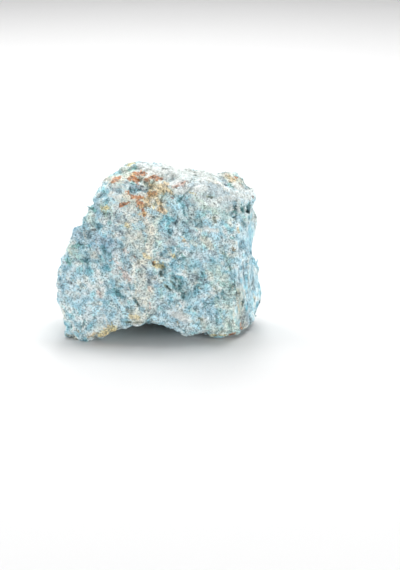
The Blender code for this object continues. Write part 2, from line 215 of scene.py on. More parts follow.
        (5.0, 12.8, 6.5, 10.9, 0.54), (5.8, 11.6, 6.0, 10.4, 0.34), (18.4, 32.8, 19.3, 32.3, 0.47),
        (20.3, 32.7, 20.6, 31.3, 0.22), (21.7, 32.7, 22.2, 31.4, 0.49),
        (18.2, 30.2, 19.3, 30.6, 0.24), (20.7, 29.0, 21.5, 28.0, 0.39),
        (17.3, 18.9, 17.8, 17.2, 0.29), (18.6, 14.8, 18.9, 11.8, 0.32),
        (15.6, 12.1, 16.1, 10.4, 0.47), (2.6, 8.9, 3.3, 7.8, 0.24), (14.2, 6.9, 14.3, 3.5, 0.20),
        (7.9, 41.8, 9.2, 41.6, 0.20), (8.6, 40.4, 9.7, 40.3, 0.22), (7.7, 36.9, 4.8, 34.1, 0.32),
        (6.1, 33.1, 6.4, 30.7, 0.29), (-0.8, 25.1, -0.5, 22.6, 0.22), (11.4, 9.1, 13.6, 9.0, 0.20),
        (8.7, 7.7, 9.2, 7.2, 0.24), (4.8, 3.3, 6.3, 2.3, 0.29), (-18.0, 4.7, -18.7, 3.3, 0.37),
        (-7.0, 13.8, -6.7, 10.9, 0.20), (10.8, 17.7, 10.9, 15.5, 0.20),
        (17.4, 14.3, 17.7, 12.1, 0.29), (14.4, 10.6, 14.8, 10.4, 0.29),
        (6.0, 26.5, 6.8, 25.6, 0.27), (-11.9, 8.6, -11.6, 7.9, 0.20), (20.6, 9.6, 21.1, 8.6, 0.27),
        (3.3, 15.5, 4.6, 15.0, 0.34), (-10.9, 30.9, -10.4, 30.2, 0.29),
    ),
    "dark": (
        (-6.0, 36.7, -5.2, 36.6, 0.17), (-4.5, 37.8, -3.8, 37.6, 0.17),
        (-4.9, 37.1, -4.5, 36.8, 0.15), (-16.3, 27.1, -15.4, 27.1, 0.24),
        (-17.1, 26.8, -16.8, 26.5, 0.20), (-19.5, 24.1, -19.2, 23.6, 0.24),
        (-1.4, 18.9, -1.1, 18.5, 0.22), (-5.2, 8.9, -4.9, 8.4, 0.15), (2.2, 13.1, 2.8, 12.6, 0.22),
        (-13.5, 31.0, -12.8, 31.0, 0.17), (-21.4, 14.3, -21.2, 14.0, 0.22),
        (-23.4, 13.8, -23.3, 12.8, 0.22), (15.9, 38.2, 16.7, 37.9, 0.20),
        (18.5, 30.3, 19.0, 30.5, 0.17), (21.6, 31.8, 22.3, 31.4, 0.29),
        (10.3, 29.7, 10.7, 28.0, 0.15), (-2.1, 30.3, -1.1, 30.2, 0.22),
        (14.1, 21.5, 14.4, 21.3, 0.12), (-19.2, 12.3, -19.0, 12.1, 0.22),
        (2.4, 27.0, 2.8, 26.3, 0.29), (15.6, 31.3, 15.8, 31.1, 0.22),
        (13.6, 33.6, 13.8, 33.1, 0.17), (-22.1, 1.1, -20.7, 0.4, 0.17),
        (-7.4, 4.2, -4.5, 4.1, 0.15), (-9.9, 3.0, -9.2, 3.3, 0.20),
    ),
    "white": (
        (1.6, 42.2, 12.6, 40.3, 1.47), (-4.5, 42.5, 0.4, 41.7, 0.98),
        (13.4, 39.3, 15.6, 38.3, 0.49), (18.5, 38.3, 20.5, 36.8, 0.64),
        (4.3, 36.3, 11.4, 37.3, 0.64), (16.3, 35.2, 18.3, 34.6, 0.49),
        (19.6, 34.1, 19.8, 31.2, 0.27), (21.2, 33.6, 21.3, 32.2, 0.20),
        (16.8, 31.7, 17.8, 32.7, 0.49), (18.4, 30.8, 19.3, 30.7, 0.17),
        (-11.6, 37.8, -8.9, 37.6, 0.44), (3.8, 6.4, 6.0, 5.5, 0.64),
        (-7.9, 32.4, -5.5, 31.4, 0.54), (-22.6, 15.5, -22.1, 15.0, 0.29),
        (-4.3, 36.1, -3.0, 35.6, 0.34), (-11.4, 35.4, -9.4, 34.9, 0.44),
        (11.4, 27.5, 14.4, 26.8, 0.44), (18.0, 36.3, 22.0, 34.9, 0.69),
        (2.8, 40.5, 7.7, 39.8, 0.73), (7.0, 23.5, 7.7, 22.9, 0.29),
        (-19.9, 11.8, -19.2, 11.1, 0.37), (-7.9, 14.3, -6.2, 10.4, 0.20),
        (-13.3, 6.4, -12.6, 4.5, 0.29), (-13.9, 5.7, -13.7, 4.2, 0.20),
        (-16.8, 1.5, -12.3, 4.1, 0.22), (-2.1, 4.1, 3.3, 2.1, 0.22),
        (-7.0, 20.2, -6.0, 18.9, 0.22), (-15.3, 24.3, -14.3, 20.9, 0.22),
        (1.1, 17.7, 1.2, 16.5, 0.20), (19.5, 33.6, 19.2, 34.5, 0.22),
    ),
    "green": (
        (16.1, 21.4, 17.1, 19.2, 0.54), (16.6, 20.7, 17.5, 17.2, 0.39),
        (16.8, 14.5, 17.8, 13.3, 0.39), (16.6, 4.5, 17.5, 3.0, 0.73),
        (10.9, 33.1, 14.1, 31.4, 0.78), (-8.9, 42.2, -7.0, 41.2, 0.49),
        (-2.1, 39.0, -0.6, 38.3, 0.29), (-14.3, 33.1, -12.8, 30.9, 0.44),
        (9.2, 34.6, 10.9, 33.9, 0.44), (-22.1, 22.1, -21.2, 19.2, 0.39),
        (14.1, 9.9, 15.6, 5.5, 0.49), (20.0, 30.9, 21.5, 29.5, 0.49), (0.6, 12.3, 0.9, 9.9, 0.39),
        (12.9, 13.8, 14.6, 12.3, 0.54), (-0.3, 24.6, 0.6, 22.4, 0.44),
    ),
}

# Broad, soft tints over the front, as strokes of the same kind.
TINTS = {
    "blush": (
        (-8.9, 21.4, -5.5, 15.3, 2.94), (-4.5, 13.5, -3.0, 6.9, 1.47),
        (-14.3, 14.3, -12.8, 13.3, 0.98), (-9.9, 30.9, -8.9, 29.5, 0.98),
    ),
    "warm": (
        (-11.4, 39.3, -8.9, 39.5, 1.23), (-7.4, 40.7, 0.4, 39.8, 1.71),
        (-7.4, 34.4, 1.6, 33.9, 1.96), (-2.5, 38.3, 2.4, 36.8, 1.96),
        (16.6, 40.3, 19.5, 38.3, 1.23), (19.7, 12.3, 21.0, 3.5, 0.86),
        (11.2, 24.6, 12.6, 23.1, 0.98),
    ),
    "moss": (
        (4.3, 42.7, 13.1, 41.0, 1.71), (9.2, 34.9, 16.6, 31.4, 1.96),
        (-14.8, 32.9, -11.9, 31.2, 1.47), (-8.9, 42.7, -6.0, 40.7, 1.47),
        (-22.1, 22.6, -19.7, 20.7, 0.98), (-17.2, 33.1, -16.3, 28.2, 1.23),
        (13.1, 17.7, 18.0, 11.8, 1.71), (16.6, 9.9, 19.0, 2.5, 1.23), (11.4, 3.7, 18.8, 1.8, 1.23),
        (-2.1, 37.3, 0.4, 35.4, 1.23),
    ),
    "deep": (
        (-21.2, 27.5, -12.3, 23.3, 1.96), (-15.3, 33.4, -14.3, 31.4, 1.23),
        (-2.1, 16.0, -0.6, 14.0, 1.23),
    ),
    "azure": (
        (19.9, 25.6, 19.9, 13.3, 0.64), (11.2, 28.0, 14.1, 25.1, 1.23),
        (-2.1, 10.9, -0.6, 5.5, 0.98), (17.1, 34.6, 18.0, 33.4, 0.61),
        (17.5, 32.2, 18.0, 30.9, 0.49), (19.5, 30.9, 20.5, 30.0, 0.61),
        (-23.6, 20.2, -19.7, 14.8, 1.47), (21.7, 28.2, 22.4, 9.9, 1.23),
        (-23.6, 13.5, -12.3, 5.5, 2.94), (5.8, 26.5, 11.4, 19.2, 2.21), (-0.1, 9.9, 4.8, 2.5, 1.96),
        (9.2, 10.9, 13.9, 5.0, 2.21), (2.8, 34.4, 5.3, 31.4, 1.71), (-9.9, 29.0, -7.4, 25.8, 1.47),
        (20.0, 35.6, 22.4, 33.9, 1.23), (18.4, 34.4, 19.0, 30.7, 0.78),
    ),
    "sea": (
        (19.5, 10.4, 20.2, 5.5, 0.61), (2.4, 36.3, 6.8, 29.0, 2.21), (6.8, 32.4, 11.2, 28.0, 1.71),
        (19.5, 33.4, 22.4, 30.9, 1.47), (1.9, 14.8, 7.3, 11.3, 1.96), (7.3, 19.2, 10.2, 13.8, 1.71),
        (5.8, 27.5, 9.7, 22.6, 1.23), (-19.7, 30.0, -17.2, 25.6, 1.47),
    ),
    "sand": (
        (-2.1, 29.0, -2.8, 20.7, 2.21), (-4.0, 19.2, -4.0, 9.9, 1.59),
        (-7.4, 28.2, -4.5, 22.1, 2.21), (-2.1, 14.3, -1.3, 5.5, 0.98), (-7.4, 6.9, -3.5, 5.0, 1.1),
        (15.6, 41.2, 19.5, 38.8, 1.23), (-14.8, 3.5, -10.9, 1.5, 0.98),
        (-2.1, 21.6, -0.1, 17.7, 0.98),
    ),
    "frost": (
        (5.3, 37.3, 10.7, 35.1, 0.98), (11.2, 38.3, 16.3, 36.8, 1.23),
        (-9.4, 42.5, -7.0, 41.7, 0.86), (17.1, 35.4, 22.4, 34.4, 0.73),
        (8.2, 37.6, 16.6, 36.3, 1.96), (9.2, 34.6, 17.1, 33.4, 1.96),
        (19.0, 36.8, 22.4, 35.4, 1.47), (11.7, 27.5, 14.1, 26.5, 0.98),
        (-4.0, 42.7, 6.5, 41.7, 1.96), (6.5, 41.2, 13.9, 39.8, 1.71), (1.6, 38.8, 11.4, 38.5, 1.23),
        (3.3, 7.4, 6.3, 5.0, 0.98), (17.1, 36.8, 19.0, 35.4, 0.98),
    ),
}

# Low mounds (and hollows, with a minus) of the front: a stroke as above, and its rise.
FORMS = (
    (4.3, 0.1, 18.5, -0.2, 1.71, -0.7), (-19.0, 29.2, -18.2, 28.2, 0.98, -0.6),
    (6.8, 0.6, 7.7, 0.6, 0.98, -0.3), (-18.0, 31.4, -16.8, 32.9, 1.23, -0.9),
    (9.2, 41.5, 12.4, 41.5, 1.23, -0.7), (15.8, 41.7, 16.1, 41.7, 1.23, 0.8),
    (20.0, 39.8, 21.5, 38.0, 1.23, -0.7), (-23.1, 1.1, -22.6, 1.1, 0.98, 0.7),
    (4.3, 14.3, 6.0, 11.3, 1.35, -0.9), (-6.0, 9.9, -4.9, 8.4, 0.44, -0.5),
    (0.5, 16.4, 0.6, 16.2, 0.54, -1.1), (18.6, 33.9, 18.9, 32.2, 0.59, -0.4),
    (20.2, 33.1, 20.5, 31.7, 0.42, -0.8), (22.0, 32.9, 22.1, 31.7, 0.56, -0.9),
    (19.7, 34.4, 19.7, 31.4, 0.32, 0.5), (17.8, 34.6, 18.5, 35.1, 0.49, 0.5),
    (21.2, 33.6, 21.3, 31.7, 0.29, 0.4), (18.5, 30.2, 19.0, 30.5, 0.29, -0.5),
    (20.7, 28.7, 21.0, 28.2, 0.49, -0.5), (11.4, 30.9, 12.6, 29.0, 0.78, -0.5),
    (13.1, 35.4, 13.4, 35.1, 0.61, -0.3), (17.5, 17.2, 18.0, 13.5, 0.54, -0.6),
    (14.6, 14.0, 16.1, 13.3, 0.61, -0.5), (-21.7, 23.3, -19.2, 25.6, 0.73, -0.5),
    (-19.7, 28.2, -16.8, 26.5, 0.61, -0.4), (-15.3, 28.0, -13.3, 28.5, 0.54, -0.4),
    (-13.3, 20.9, -11.4, 19.2, 0.73, 0.4), (-9.9, 12.3, -8.9, 9.9, 0.98, -0.5),
    (-11.4, 9.4, -9.9, 8.4, 0.73, -0.5), (-4.5, 39.3, -2.1, 37.8, 0.73, -0.5),
    (-7.0, 41.7, -2.1, 41.5, 0.61, -0.4), (-14.3, 35.4, -12.8, 35.8, 0.73, -0.4),
    (2.4, 33.1, 4.3, 29.0, 0.73, -0.4), (7.7, 30.7, 9.7, 28.5, 0.86, -0.4),
    (-24.1, 7.4, -23.1, 5.5, 0.73, 0.4), (-23.6, 19.7, -23.9, 18.2, 0.73, 0.5),
)

# How far a mineral stands out of the skin, in millimetres; holes and soft grains lie in.
MINERAL_RISE = {
    "dark": -0.4, "olive": -0.3, "teal": -0.15, "slate": -0.05, "white": 0.1, "cream": 0.1,
    "yellow": 0.1,
}

# The dark minerals that fill holes, where no loose grains lie.
HOLES = ("dark", "olive", "umber")

# The skin's values that the loose grains are laid by.
SKIN_VALUES = ("ridge", "blade", "hole")

# Powdery minerals and tints, which hardly change from grain to grain.
POWDERY = ("white", "frost")

# How strongly each mineral and tint covers the stone's own colour in the middle of its marks.
DENSITY = {
    "rust": 1.0, "umber": 1.0, "ochre": 0.75, "olive": 0.85, "yellow": 0.9, "cream": 0.45,
    "pink": 0.7, "slate": 0.85, "blue": 0.8, "jade": 1.0, "teal": 0.9, "dark": 1.0,
    "white": 0.8, "green": 0.5, "blush": 0.4, "warm": 1.0, "moss": 1.0, "deep": 1.0,
    "azure": 0.75, "sea": 0.7, "sand": 0.78, "frost": 1.25,
}

# The same minerals and tints on the sides that the front doesn't show: the share of the random
# cells that hold a spot of each, and the widths of the minerals' and the tints' cells, in
# millimetres.
HIDDEN_SHARES = {
    "rust": 0.01, "umber": 0.006, "ochre": 0.04, "olive": 0.015, "yellow": 0.03, "cream": 0.1,
    "pink": 0.03, "slate": 0.14, "blue": 0.12, "jade": 0.02, "teal": 0.08, "dark": 0.025,
    "white": 0.1, "green": 0.06, "blush": 0.1, "warm": 0.06, "moss": 0.16, "deep": 0.1,
    "azure": 0.2, "sea": 0.16, "sand": 0.08, "frost": 0.1,
}
HIDDEN_MARK = 2.0
HIDDEN_TINT = 8.0

# How soft the edge of a mark is, and that of a tint or a form, as a share of its radius.
MARK_EDGE = 0.35
SOFT_EDGE = 0.6

# Heights above the floor, in millimetres, below which no loose grain and no long blade lies.
LOWEST_GRAIN = 0.05
LOWEST_BLADE = 4.0

# Widths in the materials, in metres: a crystal whose fibres lie one way, a cloud of one tint, the
# veins along the fibres, the chips that break up a mark's edge, and the finest specks.
CRYSTAL = 0.0024
CLOUD = 0.002
VEIN = 0.0012
CHIP = 0.0004
SPECK = 0.0002

# The same for the skin's own tones: its coarse and fine grains, and the streaks and threads of
# its bladed side.
COARSE_GRAIN = 0.0005
FINE_GRAIN = 0.0003
STREAK = 0.0006
THREAD = 0.0003

# How strongly apatite bends light.
APATITE_IOR = 1.63

# The upright view's width and height, and the camera's sensor's and half the floor's width in
# millimetres.
VIEW_SHAPE = (400, 570)
SENSOR_WIDTH = 36.0
HALF_FLOOR = 1500.0

# Soft lamps round the stone: the side they stand on (0 is the front, 90 the right), how far up
# they hang, both in degrees, and their power in watts. All are equally wide, and equally far from
# the middle of the stone, in metres.
LAMP_DISTANCE = 0.6
LAMP_WIDTH = 0.25
LAMPS = {
    "back_right": (120, 68, 1.51),
    "back_high": (180, 68, 0.92),
    "back_left": (240, 68, 0.49),
    "back_low": (180, 45, 1.09),
    "back_corner": (225, 45, 0.63),
    "side_left": (270, 20, 0.92),
    "front_left": (300, 8, 0.98),
    "front_right": (30, 8, 0.5),
    "side_right": (60, 8, 1.51),
}


# ---------------------------------------------------------------- settings
def length(label, description, millimetres):
    """A length, kept in metres and given here in millimetres."""
    return FloatProperty(
        name=label, description=description, default=millimetres * MM, min=0, unit="LENGTH"
    )


def number(label, description, default, largest):
    """A whole number from 0 to the largest."""
    return IntProperty(name=label, description=description, default=default, min=0, max=largest)


def colour(label, description, value):
    """A colour, as its shares of red, green and blue."""
    return FloatVectorProperty(
        name=label, description=description, default=value, subtype="COLOR", size=3, min=0, max=1
    )


class StoneShape(bpy.types.PropertyGroup):
    """Sizes of the skin"""

    squares: number("Squares", "Squares along each side of the skin's six-sided ball", 127, 128)
    softening: number("Softening", "Times that the solid's sharp edges are averaged", 4, 50)
    grain_size: length("Grain size", "Width of the larger grains in the skin", 1.5)
    grain_height: length("Grain height", "How far the larger grains stand out or lie in", 0.13)
    sugar_size: length("Sugar size", "Width of the finer grains in the skin", 0.85)
    sugar_height: length("Sugar height", "How far the finer grains stand out or lie in", 0.08)
    pit_depth: length("Pit depth", "Depth of the small pits scattered over the skin", 0.5)
    blade_width: length("Blade width", "Width of the upright blades in the skin", 1.5)
    blade_height: length("Blade height", "How far those blades stand out", 0.06)


class StoneGrains(bpy.types.PropertyGroup):
    """Numbers and sizes of the loose grains"""

    sugar_count: number("Sugar grains", "Number of the smallest grains", 24000, 24900)
    sugar_size: length("Sugar grain size", "Half the width of the smallest grains", 0.19)
    lath_count: number("Laths", "Number of thin slivers of crystal", 16000, 16600)
    lath_length: length("Lath length", "Length of a common sliver", 0.8)
    crystal_count: number("Crystals", "Number of blunt crystals", 8000, 9900)
    crystal_size: length("Crystal size", "Half the width of a common blunt crystal", 0.38)
    blade_count: number("Blades", "Number of upright blades on the right-hand side", 350, 9000)
    blade_length: length("Blade length", "Length of a common blade", 3.2)


class StoneColours(bpy.types.PropertyGroup):
    """Colours of the stone's own crystal, of the light on it, of its tints and of its minerals"""

    water: colour("Water", "Deep water blue of the clearest crystal", (0.25, 0.54, 0.64))
    blue: colour("Deep blue", "Stronger blue of the clearer grains", (0.455, 0.72, 0.82))
    sky: colour("Sky", "Light blue of most grains", (0.74, 0.912, 0.95))
    pale: colour("Pale", "Near-white blue of the powdery grains", (0.9, 0.95, 0.94))
    powder: colour("Powder", "White of crushed crystal on edges and the top", (0.89, 0.93, 0.92))
    dim: colour("Dim", "What the darkest grains' colour is multiplied by", (0.31, 0.36, 0.37))
    shaded: colour("Shaded", "What dark grains' colour is multiplied by", (0.65, 0.71, 0.72))
    lit: colour("Lit", "What most grains' colour is multiplied by", (0.91, 0.94, 0.945))
    # Painted shade: the colour in the hollows is multiplied by this, standing in for the shade that
    # falls there.
    hollow: colour("Hollow", "What the light in the hollows is tinted by", (0.33, 0.47, 0.5))
    sea: colour("Sea", "Blue-green tint", (0.25, 0.47, 0.48))
    moss: colour("Moss", "Pale grey-green tint", (0.64, 0.76, 0.64))
    sand: colour("Sand", "Beige tint", (0.88, 0.82, 0.66))
    blush: colour("Blush", "Pinkish grey tint", (0.8, 0.73, 0.71))
    warm: colour("Warm", "Yellow-brown tint round the iron stains", (0.82, 0.67, 0.43))
    deep: colour("Deep", "Blue tint", (0.2, 0.4, 0.58))
    azure: colour("Azure", "Clear sky-blue tint", (0.54, 0.77, 0.9))
    frost: colour("Frost", "White tint", (0.88, 0.915, 0.92))
    rust: colour("Rust", "Iron stain, red-brown", (0.54, 0.185, 0.035))
    umber: colour("Umber", "Iron stain, dark brown", (0.16, 0.075, 0.04))
    olive: colour("Olive", "Dark olive-green of pits and cracks", (0.19, 0.215, 0.125))
    ochre: colour("Ochre", "Iron stain, yellow-brown", (0.66, 0.47, 0.22))
    yellow: colour("Yellow", "Yellow stain and clear yellow crystal", (0.72, 0.6, 0.26))
    cream: colour("Cream", "Beige grains of the seam", (0.89, 0.83, 0.68))
    pink: colour("Pink", "Pinkish grey grains", (0.64, 0.48, 0.42))
    slate: colour("Slate", "Grey-blue grains", (0.27, 0.355, 0.4))
    jade: colour("Jade", "Clear blue-green crystals", (0.16, 0.4, 0.38))
    teal: colour("Teal", "Dark blue-green crystals", (0.09, 0.265, 0.29))
    dark: colour("Dark", "Near-black holes and specks", (0.025, 0.035, 0.03))
    white: colour("White", "Powdery white grains", (0.81, 0.845, 0.81))
    green: colour("Green", "Pale grey-green grains", (0.5, 0.66, 0.54))


class StoneStage(bpy.types.PropertyGroup):
    """Camera and lights"""

    tilt: FloatProperty(
        name="Camera tilt",
        description="How far the camera looks down",
        default=FRONT_TILT,
        subtype="ANGLE",
    )
    distance: length("Camera distance", "From the camera to the stone", FRONT_DISTANCE)
    view_width: length("View width", "Width of the view at the stone", 98.0)
    sky: FloatProperty(
        name="Surrounding light",
        description="Strength of the even white light from all round",
        default=0.228,
        min=0,
    )
    lamps: FloatProperty(
        name="Lamps",
        description="What the power of every lamp is multiplied by",
        default=1.04,
        min=0,
    )


GROUPS = {
    "stone_shape": StoneShape,
    "stone_grains": StoneGrains,
    "stone_colours": StoneColours,
    "stone_stage": StoneStage,
}


# ---------------------------------------------------------------- random numbers and noise
def chance(cell, seed, count=1):
    """Numbers from 0 to 1 that depend only on a whole-number cell and the seed.

    The cell's three numbers are multiplied by large odd numbers and added; the sum is mixed
    twice by folding its high bits down and multiplying.
    """
    key = cell.astype(np.int64).astype(np.uint64)
    mixed = key[:, 0] * MIXERS[0] + key[:, 1] * MIXERS[1] + key[:, 2] * MIXERS[2]
    numbers = []
    for which in range(count):
        step = np.uint64((seed * 31 + which + 1) * int(MIXERS[3]) & int(LOW_32_BITS))
        turned = (mixed + step) & LOW_32_BITS
        for mixer in MIXERS[2:]:
            turned = (turned ^ (turned >> np.uint64(15))) * mixer & LOW_32_BITS
        turned = turned ^ (turned >> np.uint64(13))
        numbers.append(turned.astype(float) / 2**32)
    return np.stack(numbers, axis=-1)


def noise(points, size, seed):
    """Smooth noise from -1 to 1.

    Every corner of the cubes that space is cut into has a random number. A point blends those of
    its cube's eight corners by s*s*(3-2s), where s is its place between two of them.
    """
    place = points / size
    base = np.floor(place)
    part = place - base
    part = part * part * (3 - 2 * part)
    total = np.zeros(len(points))
    for corner in np.ndindex(2, 2, 2):
        step = np.array(corner)
        weight = np.where(step == 1, part, 1 - part).prod(axis=1)
        total += weight * chance(base + step, seed)[:, 0]
    return total * 2 - 1


def cells(points, size, seed):
    """Cells of crystal grains: the distances to the nearest and second nearest cell centre, the
    nearest cell's whole-number name, and the way from its centre, all in cell sizes.

    Space is cut into cubes. Each cube holds one centre at a random place in it, and every point
    belongs to the centre that is nearest among the 27 cubes round it.
    """
    place = points / size
    base = np.floor(place)
    first = np.full(len(points), 9.0)
    second = first.copy()
    name = base.copy()
    centre = place.copy()
    for shift in np.ndindex(3, 3, 3):
        cube = base + np.array(shift) - 1
        middle = cube + chance(cube, seed, 3)
        away = np.linalg.norm(middle - place, axis=1)
        nearer = away < first
        second = np.where(nearer, first, np.minimum(second, away))
        first = np.where(nearer, away, first)
        name[nearer] = cube[nearer]
        centre[nearer] = middle[nearer]
    return first, second, name, place - centre


def fade(value, low, high):
    """0 below low, 1 above high, and s*s*(3-2s) between, where s runs evenly from 0 to 1."""
    part = np.clip((value - low) / (high - low), 0.0, 1.0)
    return part * part * (3 - 2 * part)


# ---------------------------------------------------------------- the ball of squares
def ball(squares):
    """Directions and squares of a closed ball: unit directions (n, 3) and corner numbers (m, 4).

    Each of a cube's six sides is a grid in u and v from -1 to 1. A grid point's direction is the
    side's own axis plus tan(u*45 degrees) and tan(v*45 degrees) along its two edges, stretched
    by the stone's half-box and made a unit vector. Points that two sides share are merged.
    """
    steps = np.tan(np.linspace(-1, 1, squares + 1) * math.pi / 4)
    u, v = np.meshgrid(steps, steps, indexing="ij")
    one = np.ones_like(u)
    sides = []
    for axis in range(3):
        for sign in (1, -1):
            parts = [None, None, None]
            parts[axis] = one * sign
            parts[(axis + 1) % 3] = u * sign
            parts[(axis + 2) % 3] = v
            sides.append(np.stack(parts, axis=-1).reshape(-1, 3))
    points = np.concatenate(sides)
    side = squares + 1
    corner = (np.arange(squares)[:, None] * side + np.arange(squares)).ravel()
    square = np.stack([corner, corner + side, corner + side + 1, corner + 1], axis=1)
    loops = np.concatenate([square + k * side * side for k in range(6)])
    _, keep, merged = np.unique(
        points.round(6), axis=0, return_index=True, return_inverse=True
    )
    directions = points[keep] * HALF_BOX
    directions /= np.linalg.norm(directions, axis=1, keepdims=True)
    return directions, merged.reshape(-1)[loops]


def mesh_object(name, points, loops):
    """A new object whose mesh has these points, in millimetres, and these faces."""
    mesh = bpy.data.meshes.new(name)
    mesh.vertices.add(len(points))
    mesh.vertices.foreach_set("co", (points * MM).ravel())
    corners = loops.shape[1]
    mesh.loops.add(loops.size)
    mesh.loops.foreach_set("vertex_index", loops.ravel())
    mesh.polygons.add(len(loops))
    mesh.polygons.foreach_set("loop_start", np.arange(len(loops)) * corners)
    mesh.update(calc_edges=True)
    made = bpy.data.objects.new(name, mesh)
    bpy.context.scene.collection.objects.link(made)
    return made


def reach_of_solid(directions, loops):
    """How far the frame's solid reaches from the heart in each direction.

    A ball of one millimetre round the heart is thrown outwards, along its normals, on to the
    solid. A direction that slips between two triangles stays near the heart, and takes its
    neighbours' mean.
    """
    start = mesh_object("ball", HEART + directions, loops)
    throw = start.modifiers.new("throw", "SHRINKWRAP")
    throw.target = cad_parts[SOLID]
    throw.wrap_method = "PROJECT"
    throw.use_positive_direction = True
    throw.use_negative_direction = False
    graph = bpy.context.evaluated_depsgraph_get()
    landed = start.evaluated_get(graph).to_mesh()
    points = np.empty(len(directions) * 3)
    landed.vertices.foreach_get("co", points)
    bpy.data.objects.remove(start)
    reach = np.linalg.norm(points.reshape(-1, 3) / MM - HEART, axis=1)
    missed = reach < 2.0
    around = neighbours(loops)
    for _ in range(3):
        reach = np.where(missed, average(reach, around), reach)
    return reach


def neighbours(loops):
    """Both ends of every edge of a square grid, as two arrays of point numbers."""
    ends = np.concatenate([loops[:, [k, (k + 1) % 4]] for k in range(4)])
    ends = np.unique(np.sort(ends, axis=1), axis=0)
    return np.concatenate([ends[:, 0], ends[:, 1]]), np.concatenate([ends[:, 1], ends[:, 0]])


def average(values, around, times=1):
    """Each point's value becomes the mean of its own and its neighbours' mean, `times` over."""
    start, end = around
    degree = np.bincount(start)
    for _ in range(times):
        mean = np.bincount(start, weights=values[end]) / degree
        values = (values + mean) / 2
    return values


def point_normals(points, loops):
    """Unit normals: the cross products of each square's two diagonals, summed at its corners."""
    a, b, c, d = (points[loops[:, k]] for k in range(4))
    across = np.cross(c - a, d - b)
    normals = np.zeros_like(points)
    for axis in range(3):
        for k in range(4):
            normals[:, axis] += np.bincount(
                loops[:, k], weights=across[:, axis], minlength=len(points)
            )
    return normals / np.linalg.norm(normals, axis=1, keepdims=True)


def softened(normals, around, times):
    """Unit normals made from each point's normal averaged with its neighbours', `times` over."""
    soft = np.stack([average(normals[:, k], around, times) for k in range(3)], axis=1)
    return soft / np.linalg.norm(soft, axis=1, keepdims=True)


# ---------------------------------------------------------------- marks
def view_axes(tilt):
    """Unit vectors to the right of the front view, up it, and from the stone to the viewer."""
    sine, cosine = math.sin(tilt), math.cos(tilt)
    return np.array([1.0, 0, 0]), np.array([0, sine, cosine]), np.array([0, -cosine, sine])


def aim_point(tilt):
    """The point, in millimetres, that the middle of the front view looks at."""
    right, up, back = view_axes(tilt)
    return right * FRONT_AIM[0] + up * FRONT_AIM[1] + back * (HEART[2] * back[2])


def seen_from_front(points):
    """Where the front view shows each point: across, up, in millimetres from the marks' zero.

    The way from the viewer's eye to the point is split along the view's three axes. What it has
    across and up is shrunk by its depth over the aim's depth.
    """
    right, up, back = view_axes(FRONT_TILT)
    way = points - (aim_point(FRONT_TILT) + back * FRONT_DISTANCE)
    shrink = FRONT_DISTANCE / -(way @ back)
    return np.stack([way @ right * shrink + MARKS_AIM[0], way @ up * shrink + MARKS_AIM[1]])


def strokes_at(place, strokes, bend, soft):
    """How strongly the strokes cover each place: 1 in the middle of one, 0 outside all.

    The distance to a stroke's line over its radius, plus the bend, fades from 1 at 1 - soft to
    0 at 1 + soft.
    """
    found = np.zeros(place.shape[1])
    for x0, z0, x1, z1, radius in strokes:
        squared = max((x1 - x0) ** 2 + (z1 - z0) ** 2, 1e-6)
        along = ((place[0] - x0) * (x1 - x0) + (place[1] - z0) * (z1 - z0)) / squared
        along = np.clip(along, 0, 1)
        away = np.hypot(place[0] - x0 - along * (x1 - x0), place[1] - z0 - along * (z1 - z0))
        found = np.maximum(found, 1 - fade(away / radius + bend, 1 - soft, 1 + soft))
    return found


def spots_at(points, names, size, seed, bend):
    """Round spots of one mineral each, in a share of random cells of the given size.

    Each cell's random number picks the mineral whose share it falls in, or none. The spot fades
    out with the distance from the cell's centre, plus the bend.
    """
    first, _, cell, _ = cells(points, size, seed)
    pick = chance(cell, seed + 1)[:, 0]
    inside = 1 - fade(first + 0.8 * bend, 0.25, 0.6)
    found, low = {}, 0.0
    for name in names:
        high = low + HIDDEN_SHARES[name]
        found[name] = ((pick >= low) & (pick < high)) * inside
        low = high
    return found


def minerals(points, normals):
    """How much of each mineral and tint there is at each point, from 0 to 1, by its name.

    Points that the front shows take their own strokes. The others take random spots, so that
    the stone is the same stuff all round.
    """
    place = seen_from_front(points)
    shown = fade(normals @ view_axes(FRONT_TILT)[2], -0.05, 0.18)
    bend = 0.35 * noise(points, size=1.3, seed=61) + 0.3 * noise(points, size=0.6, seed=62)
    hidden = spots_at(points, MARKS, HIDDEN_MARK, seed=200, bend=bend)
    hidden.update(spots_at(points, TINTS, HIDDEN_TINT, seed=210, bend=bend))
    found = {}
    for name, strokes in {**MARKS, **TINTS}.items():
        front = strokes_at(place, strokes, bend, SOFT_EDGE if name in TINTS else MARK_EDGE)
        found[name] = front * shown + hidden[name] * (1 - shown)
    return found


# ---------------------------------------------------------------- relief
def cell_relief(points, size, seed, step, lean, wall, groove, axes=3):
    """Relief of cells of grains: each is a flat facet with its own height and tilt.

    A cell's height is random within the step. Its facet rises along a random direction in the
    first two or all three axes, times the lean. A groove of the given depth runs along the cell
    walls and fades out within the wall's width.
    """
    first, second, name, way = cells(points, size, seed)
    own = chance(name, seed + 7, 4)
    tilt = ((own[:, :axes] * 2 - 1) * way[:, :axes]).sum(axis=1)
    between = fade(second - first, 0.0, wall)
    return (own[:, 3] - 0.5) * step + tilt * lean - groove * (1 - between)


def tilted_grains(points, size, seed, groove=0.8):
    """Relief of packed grains, from about -1 to 1, whose walls are bent by smooth noise."""
    bent = points + 0.35 * size * np.stack(
        [noise(points, size * 0.8, seed + k) for k in (51, 52, 53)], axis=1
    )
    return cell_relief(bent, size, seed, step=1.1, lean=0.9, wall=0.22, groove=groove)


def upright_blades(points, width, seed):
    """Relief of overlapping blades, from about -1 to 1: cells seven times as high as wide, bent
    by smooth noise and tilted sideways only."""
    place = points / np.array([width, width, width * 7.0])
    bent = place + np.stack([0.25 * noise(points, 5.0, seed + k) for k in (1, 2, 3)], axis=1)
    return cell_relief(bent, 1.0, seed, step=1.2, lean=1.1, wall=0.2, groove=0.7, axes=2)


